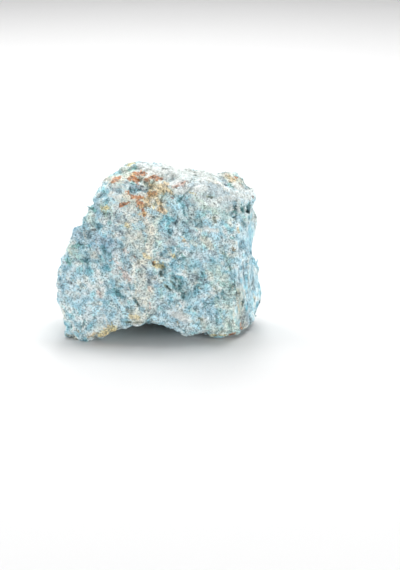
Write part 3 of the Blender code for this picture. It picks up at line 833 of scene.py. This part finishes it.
def scattered_pits(points, size, seed, share):
    """0 to 1: round hollows in a share of the cells, deepest at the cell's centre."""
    first, _, name, _ = cells(points, size, seed)
    chosen = chance(name, seed + 3)[:, 0] < share
    return chosen * (1 - fade(first, 0.12, 0.42))


def blade_strength(points, normals):
    """1 on the right-hand side, where the crystals are upright blades, fading to 0 round it.

    It fades with the side that the skin faces, from 0 at the front to 90 degrees at the right,
    which wanders by smooth noise; with the height; and where the skin lies level.
    """
    turned = np.degrees(np.arctan2(normals[:, 0], -normals[:, 1]))
    turned += 10 * noise(points, size=6.0, seed=91)
    side = fade(turned, 30, 50) * (1 - fade(turned, 118, 140))
    height = fade(points[:, 2], 1.0, 4.0) * (1 - fade(points[:, 2], 30.0, 35.0))
    return side * height * (1 - fade(np.abs(normals[:, 2]), 0.5, 0.8))


def skin_relief(shape, points, smooth, blade):
    """How far each point of the skin moves out, in millimetres.

    It is the sum of the listed mounds, where the front shows them; of broad facets, grains and
    pits, which are weaker on the top and among the blades; of the blades; and of each mineral's
    own rise.
    """
    place = seen_from_front(points)
    facing = smooth @ view_axes(FRONT_TILT)[2]
    relief = np.zeros(len(points))
    for *stroke, rise in FORMS:
        mound = strokes_at(place, [stroke], bend=0.0, soft=SOFT_EDGE)
        relief += rise * mound * fade(facing, -0.9, -0.4)
    facets = 0.36 * tilted_grains(points, size=6.0, seed=15, groove=0.1)
    facets += 0.18 * tilted_grains(points, size=2.8, seed=16, groove=0.4)
    grains = shape.grain_height / MM * tilted_grains(points, shape.grain_size / MM, seed=11)
    grains += shape.sugar_height / MM * tilted_grains(points, shape.sugar_size / MM, seed=23)
    pits = shape.pit_depth / MM * scattered_pits(points, size=2.6, seed=71, share=0.3)
    facets += grains * (1 - 0.8 * blade) - pits
    on_top = fade(smooth[:, 2], 0.55, 0.85)
    relief += facets * (1 - 0.7 * on_top) * (1 - 0.5 * blade)
    blades = upright_blades(points, shape.blade_width / MM, seed=37)
    relief += shape.blade_height / MM * blade * blades
    found = minerals(points, smooth)
    for name, rise in MINERAL_RISE.items():
        relief += rise * found[name]
    return relief


def skin_surface(shape):
    """The skin's points and squares, the softened way out of it, and two values a point: ridge
    and blade.

    Each point lies from the heart as far as the solid reaches, averaged, and is then moved out by
    the relief. Ridge is 0.5 plus how far a point stands over the mean round it, over 0.9 mm: 0 in
    a hollow, 1 on a ridge. Blade is 1 where the crystals are upright blades.
    """
    directions, loops = ball(shape.squares)
    around = neighbours(loops)
    reach = average(reach_of_solid(directions, loops), around, shape.softening)
    points = HEART + directions * reach[:, None]
    smooth = softened(point_normals(points, loops), around, times=6)
    blade = blade_strength(points, smooth)
    points = points + smooth * skin_relief(shape, points, smooth, blade)[:, None]
    points[:, 2] = np.maximum(points[:, 2], 0.0)
    standing = np.linalg.norm(points - HEART, axis=1)
    ridge = np.clip(0.5 + (standing - average(standing, around, times=24)) / 0.9, 0, 1)
    out = softened(point_normals(points, loops), around, times=8)
    return points, loops, out, {"ridge": ridge, "blade": blade}


# ---------------------------------------------------------------- materials
def put(tree, node, inputs):
    """Sets a node's inputs to values, or links them to other nodes' outputs."""
    for key, value in inputs.items():
        if isinstance(value, bpy.types.NodeSocket):
            tree.links.new(value, node.inputs[key])
        else:
            node.inputs[key].default_value = value


def add(tree, kind, inputs=None, **settings):
    """A new node of the tree with its settings, and its inputs set to values or linked."""
    node = tree.nodes.new(kind)
    for name, value in settings.items():
        setattr(node, name, value)
    put(tree, node, inputs or {})
    return node


def vectors(tree, operation, inputs):
    """A Vector Math node."""
    return add(tree, "ShaderNodeVectorMath", inputs, operation=operation)


def blend(tree, factor, a, b, mode="MIX"):
    """Two colours blended by a factor; returns the colour."""
    inputs = {0: factor, 6: a, 7: b}
    return add(tree, "ShaderNodeMix", inputs, data_type="RGBA", blend_type=mode).outputs[2]


def sums(tree, operation, *values):
    """The value of a Math node on one or two values."""
    inputs = dict(enumerate(values))
    return add(tree, "ShaderNodeMath", inputs, operation=operation).outputs[0]


def spread(tree, value, low, high, to_low=0.0, to_high=1.0):
    """The value moved from one range to another, and kept inside it."""
    inputs = {0: value, 1: low, 2: high, 3: to_low, 4: to_high}
    return add(tree, "ShaderNodeMapRange", inputs).outputs[0]


def attribute(tree, name):
    """The number that the mesh's points hold under this name."""
    return add(tree, "ShaderNodeAttribute", attribute_name=name).outputs["Fac"]


def place_in_object(tree):
    """The place in the piece, in metres."""
    return add(tree, "ShaderNodeTexCoord").outputs["Object"]


def grey(tree, value):
    """A grey whose three parts are the value."""
    return add(tree, "ShaderNodeCombineColor", {0: value, 1: value, 2: value}).outputs[0]


def product(tree, *values):
    """The product of two or more values."""
    result = values[0]
    for value in values[1:]:
        result = sums(tree, "MULTIPLY", result, value)
    return result


def cell_tones(tree, place, size):
    """Two random numbers for each crystal grain of this size in metres."""
    texture = add(tree, "ShaderNodeTexVoronoi", {"Vector": place, "Scale": 1 / size})
    parts = add(tree, "ShaderNodeSeparateColor", {0: texture.outputs["Color"]})
    return parts.outputs[0], parts.outputs[1]


def ramp(tree, value, stops):
    """A colour ramp through (position, colour) stops."""
    node = add(tree, "ShaderNodeValToRGB", {0: value})
    while len(node.color_ramp.elements) < len(stops):
        node.color_ramp.elements.new(0.5)
    for element, (position, shade) in zip(node.color_ramp.elements, stops):
        element.position = position
        element.color = (*shade, 1.0)
    return node.outputs[0]


def new_group(name, inputs, outputs):
    """A node group with named inputs {name: default} and outputs {name: socket type}."""
    tree = bpy.data.node_groups.new(name, "ShaderNodeTree")
    for label, default in inputs.items():
        socket = tree.interface.new_socket(label, in_out="INPUT", socket_type="NodeSocketFloat")
        socket.default_value = default
    for label, kind in outputs.items():
        tree.interface.new_socket(label, in_out="OUTPUT", socket_type=kind)
    return tree, add(tree, "NodeGroupInput").outputs, add(tree, "NodeGroupOutput").inputs


def along_fibres(tree, place):
    """The coordinates drawn out about twofold along a direction that each cell of crystal has of
    its own, so that what is laid on them looks like fibres; and a random number for each cell.

    The way is the cell's random colour less a half, made a unit vector. What the place has along
    it is cut down by 0.55 of itself.
    """
    crystal = add(tree, "ShaderNodeTexVoronoi", {"Vector": place, "Scale": 1 / CRYSTAL})
    own = crystal.outputs["Color"]
    turned = vectors(tree, "SUBTRACT", {0: own, 1: (0.5, 0.5, 0.5)})
    way = vectors(tree, "NORMALIZE", {0: turned.outputs[0]}).outputs[0]
    along = vectors(tree, "DOT_PRODUCT", {0: place, 1: way}).outputs["Value"]
    part = vectors(tree, "SCALE", {0: way, "Scale": product(tree, along, 0.55)})
    drawn = vectors(tree, "SUBTRACT", {0: place, 1: part.outputs[0]})
    return drawn.outputs[0], add(tree, "ShaderNodeSeparateColor", {0: own}).outputs[0]


def tone_of_specks(tree, given, place, drawn):
    """The grain's own tone, with a swing that changes from speck to speck and along the veins.

    The swing is 0.27 less 0.8 of a speck's random number squared, plus 0.24 on a vein and less
    0.16 away from one, all times Specks, and a quarter of that on the bladed side. A vein is
    where smooth noise along the fibres is near its middle.
    """
    speck, _ = cell_tones(tree, place, SPECK)
    inputs = {"Vector": drawn, "Scale": 1 / VEIN, "Detail": 2.0}
    smooth = add(tree, "ShaderNodeTexNoise", inputs).outputs["Fac"]
    vein = sums(tree, "ABSOLUTE", sums(tree, "SUBTRACT", smooth, 0.5))
    swing = sums(tree, "SUBTRACT", 0.27, product(tree, speck, speck, 0.8))
    swing = sums(tree, "ADD", swing, spread(tree, vein, 0.0, 0.1, 0.24, -0.16))
    calm = spread(tree, attribute(tree, "blade"), 0.0, 1.0, 1.0, 0.25)
    return sums(tree, "ADD", given["Tone"], product(tree, swing, given["Specks"], calm))


def colour_of_crystal(tree, colours, given, tone, place, own):
    """The bare crystal's colour, and the soft grey light that its beige and the tints share.

    The colour is a blue that goes with how clear the crystal is, times a light that goes with its
    tone, with greenish and beige clouds. How clear it is wanders with the clouds, and a little
    with the crystal and with its grain's tone.
    """
    inputs = {"Vector": place, "Scale": 1 / CLOUD, "Detail": 1.0}
    clouds = add(tree, "ShaderNodeTexNoise", inputs).outputs["Color"]
    clouds = add(tree, "ShaderNodeSeparateColor", {0: clouds})
    patch = spread(tree, clouds.outputs[0], 0.3, 0.7)
    hue = spread(tree, clouds.outputs[1], 0.3, 0.7)
    clear = sums(tree, "ADD", patch, product(tree, own, 0.16))
    clear = spread(tree, clear, 0.08, 1.08, 0.06, 0.86)
    clear = sums(tree, "ADD", clear, product(tree, given["Tone"], 0.06))
    blues = ((0.0, colours.water), (0.27, colours.blue), (0.55, colours.sky), (0.85, colours.pale))
    lights = ((0.0, colours.dim), (0.2, colours.shaded), (0.46, colours.lit), (0.76, (1, 1, 1)))
    base = blend(tree, 1.0, ramp(tree, clear, blues), ramp(tree, tone, lights), "MULTIPLY")
    greenish = product(tree, spread(tree, hue, 0.35, 0.0), 0.6)
    green = blend(tree, 1.0, (*colours.sea, 1), (2.1, 2.1, 2.1, 1), "MULTIPLY")
    base = blend(tree, greenish, base, blend(tree, 1.0, base, green, "MULTIPLY"))
    light = grey(tree, spread(tree, tone, 0.0, 1.0, 0.5, 1.2))
    beige = product(tree, spread(tree, hue, 0.7, 0.95), 0.35)
    sand = blend(tree, 1.0, (*colours.sand, 1), light, "MULTIPLY")
    return blend(tree, beige, base, sand), light


def mineral_colour_group(colours):
    """Colour of a grain: the bare crystal's, tinted and stained by the minerals, with pale powder
    on the ridges and painted shade in the hollows.

    A mineral's colour is multiplied by a light that goes with the tone. A tint covers by its
    attribute. A mark covers by its attribute less a random number for each chip, so that its edge
    is broken.
    """
    tree, given, out = new_group(
        "mineral_colour",
        {"Tone": 0.5, "Specks": 2.3, "Tint": 0.45, "Stain": 0.85, "Powder": 0.4, "Depth": 0.35},
        {"Colour": "NodeSocketColor"},
    )
    place = place_in_object(tree)
    drawn, own = along_fibres(tree, place)
    tone = tone_of_specks(tree, given, place, drawn)
    base, soft = colour_of_crystal(tree, colours, given, tone, place, own)
    strong = grey(tree, spread(tree, tone, 0.0, 1.0, 0.36, 1.36))
    even = grey(tree, spread(tree, tone, 0.0, 1.0, 0.74, 1.04))
    ragged = product(tree, cell_tones(tree, drawn, CHIP)[1], 0.45)
    for name in (*TINTS, *MARKS):
        cover = attribute(tree, name)
        if name in TINTS:
            light, strength = soft, given["Tint"]
        else:
            light, strength = strong, given["Stain"]
            cover = spread(tree, sums(tree, "SUBTRACT", cover, ragged), 0.05, 0.75)
        if name in POWDERY:
            light = even
        shade = blend(tree, 1.0, (*getattr(colours, name), 1), light, "MULTIPLY")
        base = blend(tree, product(tree, cover, strength, DENSITY[name]), base, shade)
    ridge = attribute(tree, "ridge")
    powder = product(tree, spread(tree, ridge, 0.6, 1.0), given["Powder"])
    powdered = blend(tree, powder, base, (*colours.powder, 1))
    # Painted shade: where the ridge value is low, in the hollows, the colour is multiplied by the
    # hollow colour, by up to Depth.
    depth = product(tree, spread(tree, ridge, 0.45, 0.05), given["Depth"])
    painted_hollow_shade = blend(tree, 1.0, powdered, (*colours.hollow, 1), "MULTIPLY")
    tree.links.new(blend(tree, depth, powdered, painted_hollow_shade), out["Colour"])


def grain_relief_group():
    """Height of fine sugary grains for a Bump node, and a roughness that changes by the grain.

    The height is noise of nearly half the grain's size, less the distance to the grain's centre.
    """
    tree, given, out = new_group(
        "grain_relief",
        {"Size": 0.0005},
        {"Height": "NodeSocketFloat", "Roughness": "NodeSocketFloat"},
    )
    place, _ = along_fibres(tree, place_in_object(tree))
    scale = sums(tree, "DIVIDE", 1.0, given["Size"])
    voronoi = add(tree, "ShaderNodeTexVoronoi", {"Vector": place, "Scale": scale})
    inputs = {"Vector": place, "Scale": product(tree, scale, 1.9), "Detail": 4.0}
    rough = add(tree, "ShaderNodeTexNoise", inputs)
    height = sums(tree, "SUBTRACT", rough.outputs["Fac"], voronoi.outputs["Distance"])
    tree.links.new(height, out["Height"])
    own = add(tree, "ShaderNodeSeparateColor", {0: voronoi.outputs["Color"]}).outputs[0]
    tree.links.new(spread(tree, own, 0.0, 1.0, 0.35, 0.85), out["Roughness"])


def tone_of_skin(tree):
    """The skin's tone, from 0.22 to 0.7: the mean of two random numbers, one for each coarse and
    one for each fine grain, to the power 0.6. On the bladed side the two are for upright streaks
    and threads, seven times as high as wide, and the tone stays between 0.37 and 0.49. It lies
    lower on the whole than the loose grains' tones, so that the skin seen in the gaps between them
    holds painted shade."""
    place = place_in_object(tree)
    drawn, _ = along_fibres(tree, place)
    coarse, _ = cell_tones(tree, drawn, COARSE_GRAIN)
    fine, _ = cell_tones(tree, drawn, FINE_GRAIN)
    mixed = sums(tree, "POWER", spread(tree, sums(tree, "ADD", coarse, fine), 0.0, 2.0), 0.6)
    grainy = spread(tree, mixed, 0.0, 1.0, 0.22, 0.7)
    upright = vectors(tree, "MULTIPLY", {0: place, 1: (1, 1, 0.14)}).outputs[0]
    streak, _ = cell_tones(tree, upright, STREAK)
    thread, _ = cell_tones(tree, upright, THREAD)
    bladed = spread(tree, sums(tree, "ADD", streak, thread), 0.0, 2.0, 0.37, 0.49)
    inputs = {0: attribute(tree, "blade"), 2: grainy, 3: bladed}
    return add(tree, "ShaderNodeMix", inputs).outputs[0]


def stone_material(name, grain, bump, cellular=False, **strengths):
    """A material of the stone: mineral colours, and relief and roughness in grains of this width.

    A cellular one works out its tone for itself, and the others take it from their grains.
    """
    material = bpy.data.materials.new(name)
    material.use_nodes = True
    tree = material.node_tree
    shader = tree.nodes["Principled BSDF"]
    strengths["Tone"] = tone_of_skin(tree) if cellular else attribute(tree, "tone")
    groups = bpy.data.node_groups
    colours = add(tree, "ShaderNodeGroup", node_tree=groups["mineral_colour"])
    relief = add(tree, "ShaderNodeGroup", node_tree=groups["grain_relief"])
    # Depth among the strengths sets how strongly shade is painted into the hollows.
    put(tree, colours, strengths)
    put(tree, relief, {"Size": grain})
    inputs = {"Strength": bump, "Distance": grain * 0.6, "Height": relief.outputs["Height"]}
    bumps = add(tree, "ShaderNodeBump", inputs)
    finish = {"Base Color": colours.outputs["Colour"], "Roughness": relief.outputs["Roughness"]}
    put(tree, shader, {**finish, "Normal": bumps.outputs["Normal"], "IOR": APATITE_IOR})
    return material


# ---------------------------------------------------------------- loose grains
def read_values(items, name, shape, kind=np.float32):
    """One value, or one row of values, for each item of a mesh, as an array of this shape."""
    size = 3 if name in ("co", "vector") else 1
    values = np.empty(len(items) * size, dtype=kind)
    items.foreach_get(name, values)
    return values.reshape(shape).astype(int if kind is np.int32 else float)


def stone_skin():
    """The finished skin's points, squares and ways out, and its ridge, blade and hole values,
    read from its mesh."""
    if "stone_skin" not in bpy.data.objects:
        raise RuntimeError("The grains need the skin: run Stone skin first")
    mesh = bpy.data.objects["stone_skin"].data
    points = read_values(mesh.vertices, "co", (-1, 3)) / MM
    loops = read_values(mesh.loops, "vertex_index", (-1, 4), np.int32)
    out = read_values(mesh.attributes["out"].data, "vector", (-1, 3))
    found = [read_values(mesh.attributes[name].data, "value", -1) for name in SKIN_VALUES]
    return points, loops, out, *found


def places_on_skin(dice, count, on_blades=False):
    """Random places on the skin, even by area: points, ways out, and ridge and blade values.

    A square is drawn with a chance that goes with its area and, for blades, with its blade value
    to the fourth; other loose grains settle on the bladed side a tenth as often as elsewhere.
    None lie in a dark hole or on the floor. The place in the square is its four corners blended
    by two random numbers.
    """
    points, loops, out, ridge, blade, hole = stone_skin()
    a, b, c, d = (points[loops[:, k]] for k in range(4))
    share = np.linalg.norm(np.cross(c - a, d - b), axis=1)
    share *= (a + b + c + d)[:, 2] / 4 > LOWEST_GRAIN
    bladed = blade[loops].mean(axis=1)
    if on_blades:
        share *= bladed**4 * ((a + c)[:, 2] / 2 > LOWEST_BLADE)
    else:
        share *= 1 - 0.9 * bladed
    share *= 1 - hole[loops].max(axis=1)
    square = loops[dice.choice(len(loops), count, p=share / share.sum())]
    u, v = dice.random((2, count))
    weights = np.stack([(1 - u) * (1 - v), u * (1 - v), u * v, (1 - u) * v], axis=1)
    place = (points[square] * weights[:, :, None]).sum(axis=1)
    way = (out[square] * weights[:, :, None]).sum(axis=1)
    way /= np.linalg.norm(way, axis=1, keepdims=True)
    ridge, blade = ((value[square] * weights).sum(axis=1) for value in (ridge, blade))
    return place, way, ridge, blade


def solid_shape(kind):
    """Corners (n, 3) and triangles (m, 3) of a plain closed form inside a ball of radius 1.

    The corners are an eight-faced or twenty-faced solid's, or a box's. Its triangles are every
    three corners whose plane has all the others behind it; a box's flat sides are each cut once.
    """
    if kind == "sugar":
        corners = np.concatenate([np.eye(3), -np.eye(3)])
    elif kind == "lath":
        corners = np.array(list(np.ndindex(2, 2, 2))) * 2.0 - 1
    else:
        golden = (1 + math.sqrt(5)) / 2
        signs = np.array(list(np.ndindex(2, 2))) * 2.0 - 1
        zeros = np.zeros(4)
        flat = [zeros, signs[:, 0], signs[:, 1] * golden]
        corners = np.concatenate([np.stack(np.roll(flat, k, axis=0), axis=1) for k in range(3)])
        corners /= math.hypot(1, golden)
    if kind == "lath":
        quads = np.array(
            [(0, 1, 3, 2), (4, 6, 7, 5), (0, 4, 5, 1), (2, 3, 7, 6), (0, 2, 6, 4), (1, 5, 7, 3)]
        )
        return corners, np.concatenate([quads[:, [0, 1, 2]], quads[:, [0, 2, 3]]])
    threes = np.array([t for t in np.ndindex(*[len(corners)] * 3) if t[0] < min(t[1], t[2])])
    a, b, c = (corners[threes[:, k]] for k in range(3))
    out = np.cross(b - a, c - a)
    size = np.linalg.norm(out, axis=1)
    behind = ((corners[None] - a[:, None]) * out[:, None]).sum(axis=2) < 1e-6
    return corners, threes[(size > 1e-6) & behind.all(axis=1)]


def scatter(kind, places, axes, sizes, sunk, jitter, dice):
    """Grains in the skin: the points and triangles of one closed form at each place.

    Every corner of the form moves in or out by up to the jitter. The form is stretched by its
    three sizes along the three axes, and its middle lies below the skin by sunk times its size
    along the third axis.
    """
    corners, faces = solid_shape(kind)
    count = len(places)
    shape = corners[None] * dice.uniform(1 - jitter, 1 + jitter, (count, len(corners), 3))
    shape = np.einsum("nkj,nij->nki", shape * sizes[:, None], axes)
    placed = shape + (places - axes[:, :, 2] * (sizes[:, 2] * sunk)[:, None])[:, None]
    placed[:, :, 2] = np.maximum(placed[:, :, 2], 0.0)
    loops = faces[None] + len(corners) * np.arange(count)[:, None, None]
    return placed.reshape(-1, 3), loops.reshape(-1, 3)


def lying_axes(places, normals, upright, dice, tilt):
    """Axes for grains that lie in the skin: along, across and out of it, as columns.

    The out axis is the way out of the skin, leant by about the tilt. Along is level times the
    cosine of a turn plus rise times its sine, where level lies across the slope and rise up it.
    The turn wanders over the stone by smooth noise, so that neighbouring grains lie roughly the
    same way, and `upright` (0 to 1) holds it to the vertical.
    """
    out = normals + dice.normal(size=normals.shape) * tilt
    out /= np.linalg.norm(out, axis=1, keepdims=True)
    level = np.cross(np.array([0.02, 0.03, 1.0]), out)
    level /= np.linalg.norm(level, axis=1, keepdims=True)
    rise = np.cross(out, level)
    wander = math.pi * 1.3 * noise(places, size=4.0, seed=81)
    turn = wander + dice.normal(size=len(places)) * 0.25
    turn = turn * (1 - upright) + math.pi / 2 + dice.normal(size=len(places)) * 0.1 * upright
    along = level * np.cos(turn)[:, None] + rise * np.sin(turn)[:, None]
    return np.stack([along, np.cross(out, along), out], axis=2)


def give_values(mesh, name, values):
    """Stores one number a point on the mesh, for its material to read."""
    layer = mesh.attributes.new(name, "FLOAT", "POINT")
    layer.data.foreach_set("value", values.astype(np.float32))


def finish_piece(piece, material, values):
    """Gives a piece its values, its material and its place in the frame."""
    for name, value in values.items():
        give_values(piece.data, name, value)
    piece.data.materials.append(material)
    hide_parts(SOLID)
    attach(piece, "root")


def grain_tones(dice, places, level, drop):
    """Tones of grains: the level, plus smooth noise that wanders with the place, less a random
    number that is rarely more than twice the drop; one in twenty is nearly white."""
    count = len(places)
    wander = 0.14 * noise(places, size=1.3, seed=87)
    tones = level + wander - np.abs(dice.normal(0, drop, count))
    return np.clip(tones + 0.3 * (dice.random(count) < 0.05), 0, 1)


def blunt_sizes(dice, count, width, least, most):
    """Half sizes of blunt grains along their three axes, between the least and the most times
    the width; it is itself 0.6 to 1.5 times, by a random number squared, so few are large."""
    size = width * (0.6 + 0.9 * dice.random(count) ** 2)
    return size[:, None] * dice.uniform(least, most, (count, 3))


def thin_sizes(dice, long, widths, depths):
    """Half sizes of slivers: the length given, and a width and a depth within their limits."""
    count = len(long)
    return np.stack([long, dice.uniform(*widths, count), dice.uniform(*depths, count)], axis=1)


def for_each_corner(values, made, count):
    """Values of whole grains, repeated for every corner of each grain."""
    corners = len(made[0]) // count
    return {name: np.repeat(value, corners, axis=0) for name, value in values.items()}


def finish_grains(name, made, places, out, ridge, tones, dice, material):
    """Makes the piece of a kind of grain, with one tone and one share of each mineral a grain.

    Inside a mark every grain is stained; towards its edge a random number a grain decides.
    """
    count = len(places)
    found = minerals(places, out)
    for mineral in MARKS:
        edge = 0.4 * dice.random(count)
        found[mineral] = fade(found[mineral] - edge, 0.0, 0.6)
    found["ridge"] = np.clip(ridge + dice.uniform(-0.2, 0.2, count), 0, 1)
    found["tone"] = tones
    finish_piece(mesh_object(name, *made), material, for_each_corner(found, made, count))


# ---------------------------------------------------------------- stage
def lay_floor():
    """A square of pale, matt floor at the foot of the stone."""
    corners = np.array([(-1, -1, 0), (1, -1, 0), (1, 1, 0), (-1, 1, 0)]) * HALF_FLOOR
    floor = mesh_object("floor", corners, np.array([[0, 1, 2, 3]]))
    pale = bpy.data.materials.new("pale_floor")
    pale.use_nodes = True
    shader = pale.node_tree.nodes["Principled BSDF"]
    matt = {"Base Color": (0.74, 0.74, 0.74, 1), "Roughness": 0.9, "Specular IOR Level": 0.2}
    put(pale.node_tree, shader, matt)
    floor.data.materials.append(pale)


def light_room(scene, stage):
    """Even white light from all round, and the lamps.

    A lamp hangs at its distance times the sines and cosines of its side and height, and faces
    the middle of the stone.
    """
    world = bpy.data.worlds.new("white_room")
    world.use_nodes = True
    sky = world.node_tree.nodes["Background"]
    put(world.node_tree, sky, {"Color": (1, 1, 1, 1), "Strength": stage.sky})
    scene.world = world
    scene.view_settings.view_transform = "Standard"
    for name, (side, height, power) in LAMPS.items():
        lamp = bpy.data.lights.new(name, "AREA")
        lamp.shape = "DISK"
        lamp.size = LAMP_WIDTH
        lamp.energy = power * stage.lamps
        hung = bpy.data.objects.new(name, lamp)
        side, height = math.radians(side), math.radians(height)
        hung.location = (
            LAMP_DISTANCE * math.sin(side) * math.cos(height),
            -LAMP_DISTANCE * math.cos(side) * math.cos(height),
            LAMP_DISTANCE * math.sin(height) + HEART[2] * MM,
        )
        hung.rotation_euler = (math.pi / 2 - height, 0, side)
        scene.collection.objects.link(hung)


def set_camera(scene, stage):
    """The camera of the front view, as far back from the point it is aimed at as it says.

    The lens is the sensor's width times the distance over the view's width, cut down by the
    view's own shape because its height is the longer side.
    """
    lens = bpy.data.cameras.new("front")
    width, height = VIEW_SHAPE
    lens.sensor_width = SENSOR_WIDTH
    lens.lens = SENSOR_WIDTH * stage.distance / stage.view_width * width / height
    lens.clip_start = 0.01
    lens.clip_end = 10.0
    camera = bpy.data.objects.new("front", lens)
    back = view_axes(stage.tilt)[2]
    camera.location = aim_point(stage.tilt) * MM + back * stage.distance
    camera.rotation_euler = (math.pi / 2 - stage.tilt, 0, 0)
    scene.collection.objects.link(camera)
    scene.camera = camera


# ---------------------------------------------------------------- operators
class STONE_OT_colours(bpy.types.Operator):
    """Builds the shared node groups for the stone's colours and its fine relief"""

    bl_idname = "stone.colours"
    bl_label = "Stone colours"

    def execute(self, context):
        mineral_colour_group(context.scene.stone_colours)
        grain_relief_group()
        return {"FINISHED"}


class STONE_OT_skin(bpy.types.Operator):
    """Lays the granular skin of the stone over the frame's solid"""

    bl_idname = "stone.skin"
    bl_label = "Stone skin"

    def execute(self, context):
        points, loops, out, values = skin_surface(context.scene.stone_shape)
        skin = mesh_object("stone_skin", points, loops)
        material = stone_material(
            "granular_skin", grain=0.0006, bump=0.6, cellular=True, Powder=0.1, Depth=0.2
        )
        layer = skin.data.attributes.new("out", "FLOAT_VECTOR", "POINT")
        layer.data.foreach_set("vector", out.astype(np.float32).ravel())
        found = minerals(points, out)
        values["hole"] = np.max([found[name] for name in HOLES], axis=0)
        finish_piece(skin, material, {**found, **values})
        return {"FINISHED"}


class STONE_OT_sugar(bpy.types.Operator):
    """Scatters the smallest grains over the skin"""

    bl_idname = "stone.sugar"
    bl_label = "Sugar grains"

    def execute(self, context):
        grains = context.scene.stone_grains
        dice = np.random.default_rng(5)
        places, out, ridge, _ = places_on_skin(dice, grains.sugar_count)
        count, width = len(places), grains.sugar_size / MM
        sizes = blunt_sizes(dice, count, width, (0.8, 0.7, 0.3), (1.4, 1.1, 0.55))
        axes = lying_axes(places, out, np.zeros(count), dice, tilt=0.3)
        made = scatter("sugar", places, axes, sizes, sunk=0.45, jitter=0.25, dice=dice)
        tones = grain_tones(dice, places, level=0.67, drop=0.13)
        material = stone_material(
            "sugar_grains", grain=0.0003, bump=0.3, Powder=0.15, Depth=0.15
        )
        finish_grains("sugar_grains", made, places, out, ridge, tones, dice, material)
        return {"FINISHED"}


class STONE_OT_laths(bpy.types.Operator):
    """Lays thin slivers of crystal in the skin, upright on the right-hand side"""

    bl_idname = "stone.laths"
    bl_label = "Crystal laths"

    def execute(self, context):
        grains = context.scene.stone_grains
        dice = np.random.default_rng(6)
        places, out, ridge, upright = places_on_skin(dice, grains.lath_count)
        count = len(places)
        long = grains.lath_length / MM / 2 * (0.5 + dice.random(count) ** 2 * 1.4)
        long *= 1 + 0.8 * upright
        sizes = thin_sizes(dice, long, widths=(0.09, 0.19), depths=(0.05, 0.1))
        axes = lying_axes(places, out, upright, dice, tilt=0.07)
        made = scatter("lath", places, axes, sizes, sunk=0.5, jitter=0.2, dice=dice)
        tones = grain_tones(dice, places, level=0.61, drop=0.09)
        material = stone_material(
            "crystal_laths", grain=0.0004, bump=0.3, Powder=0.1, Depth=0.15
        )
        finish_grains("crystal_laths", made, places, out, ridge, tones, dice, material)
        return {"FINISHED"}


class STONE_OT_crystals(bpy.types.Operator):
    """Sets blunt, half-buried crystals in the skin"""

    bl_idname = "stone.crystals"
    bl_label = "Blunt crystals"

    def execute(self, context):
        grains = context.scene.stone_grains
        dice = np.random.default_rng(7)
        places, out, ridge, upright = places_on_skin(dice, grains.crystal_count)
        count, width = len(places), grains.crystal_size / MM
        sizes = blunt_sizes(dice, count, width, (0.6, 0.5, 0.3), (1.1, 0.9, 0.5))
        axes = lying_axes(places, out, upright, dice, tilt=0.2)
        made = scatter("crystal", places, axes, sizes, sunk=0.7, jitter=0.15, dice=dice)
        tones = grain_tones(dice, places, level=0.6, drop=0.08)
        material = stone_material(
            "blunt_crystals", grain=0.0005, bump=0.35, Powder=0.1, Depth=0.15
        )
        finish_grains("blunt_crystals", made, places, out, ridge, tones, dice, material)
        return {"FINISHED"}


class STONE_OT_blades(bpy.types.Operator):
    """Lays long upright blades of crystal in the right-hand side"""

    bl_idname = "stone.blades"
    bl_label = "Upright blades"

    def execute(self, context):
        grains = context.scene.stone_grains
        dice = np.random.default_rng(8)
        places, out, ridge, _ = places_on_skin(dice, grains.blade_count, on_blades=True)
        count = len(places)
        long = grains.blade_length / MM / 2 * (0.4 + 1.2 * dice.random(count) ** 1.5)
        sizes = thin_sizes(dice, long, widths=(0.2, 0.55), depths=(0.05, 0.11))
        axes = lying_axes(places, out, np.ones(count), dice, tilt=0.03)
        made = scatter("crystal", places, axes, sizes, sunk=0.5, jitter=0.12, dice=dice)
        tones = np.clip(dice.normal(0.4, 0.04, count), 0, 1)
        material = stone_material(
            "upright_blades", grain=0.0004, bump=0.2, Specks=0.25, Powder=0.1, Depth=0.2
        )
        values = for_each_corner({"ridge": ridge, "tone": tones, "out": out}, made, count)
        values.update(minerals(made[0], values.pop("out")))
        finish_piece(mesh_object("upright_blades", *made), material, values)
        return {"FINISHED"}


class STONE_OT_stage(bpy.types.Operator):
    """Makes the pale floor, the soft lights and the camera"""

    bl_idname = "stone.stage"
    bl_label = "Stage"

    def execute(self, context):
        lay_floor()
        light_room(context.scene, context.scene.stone_stage)
        set_camera(context.scene, context.scene.stone_stage)
        return {"FINISHED"}


class STONE_PT_panel(bpy.types.Panel):
    """Lists the steps that build the stone and the settings they read"""

    bl_label = "Raw apatite stone"
    bl_idname = "STONE_PT_panel"
    bl_space_type = "VIEW_3D"
    bl_region_type = "UI"
    bl_category = "Stone"

    def draw(self, context):
        layout = self.layout
        for step in STEPS:
            layout.operator(step.bl_idname)
        for group in (getattr(context.scene, name) for name in GROUPS):
            box = layout.box()
            for name in group.bl_rna.properties.keys():
                if name not in ("rna_type", "name"):
                    box.prop(group, name)


# The steps, in the order that they run in: the grains lie on the skin, and all need the colours.
STEPS = (
    STONE_OT_colours,
    STONE_OT_skin,
    STONE_OT_sugar,
    STONE_OT_laths,
    STONE_OT_crystals,
    STONE_OT_blades,
    STONE_OT_stage,
)
CLASSES = (*GROUPS.values(), *STEPS, STONE_PT_panel)


def register():
    """Adds the settings, the steps and the panel to Blender."""
    for kind in CLASSES:
        bpy.utils.register_class(kind)
    for name, group in GROUPS.items():
        setattr(bpy.types.Scene, name, PointerProperty(type=group))


def unregister():
    """Takes them out again."""
    for name in GROUPS:
        delattr(bpy.types.Scene, name)
    for kind in reversed(CLASSES):
        bpy.utils.unregister_class(kind)


def main():
    register()
    for step in STEPS:
        group, name = step.bl_idname.split(".")
        getattr(getattr(bpy.ops, group), name)()


if __name__ == "__main__":
    main()
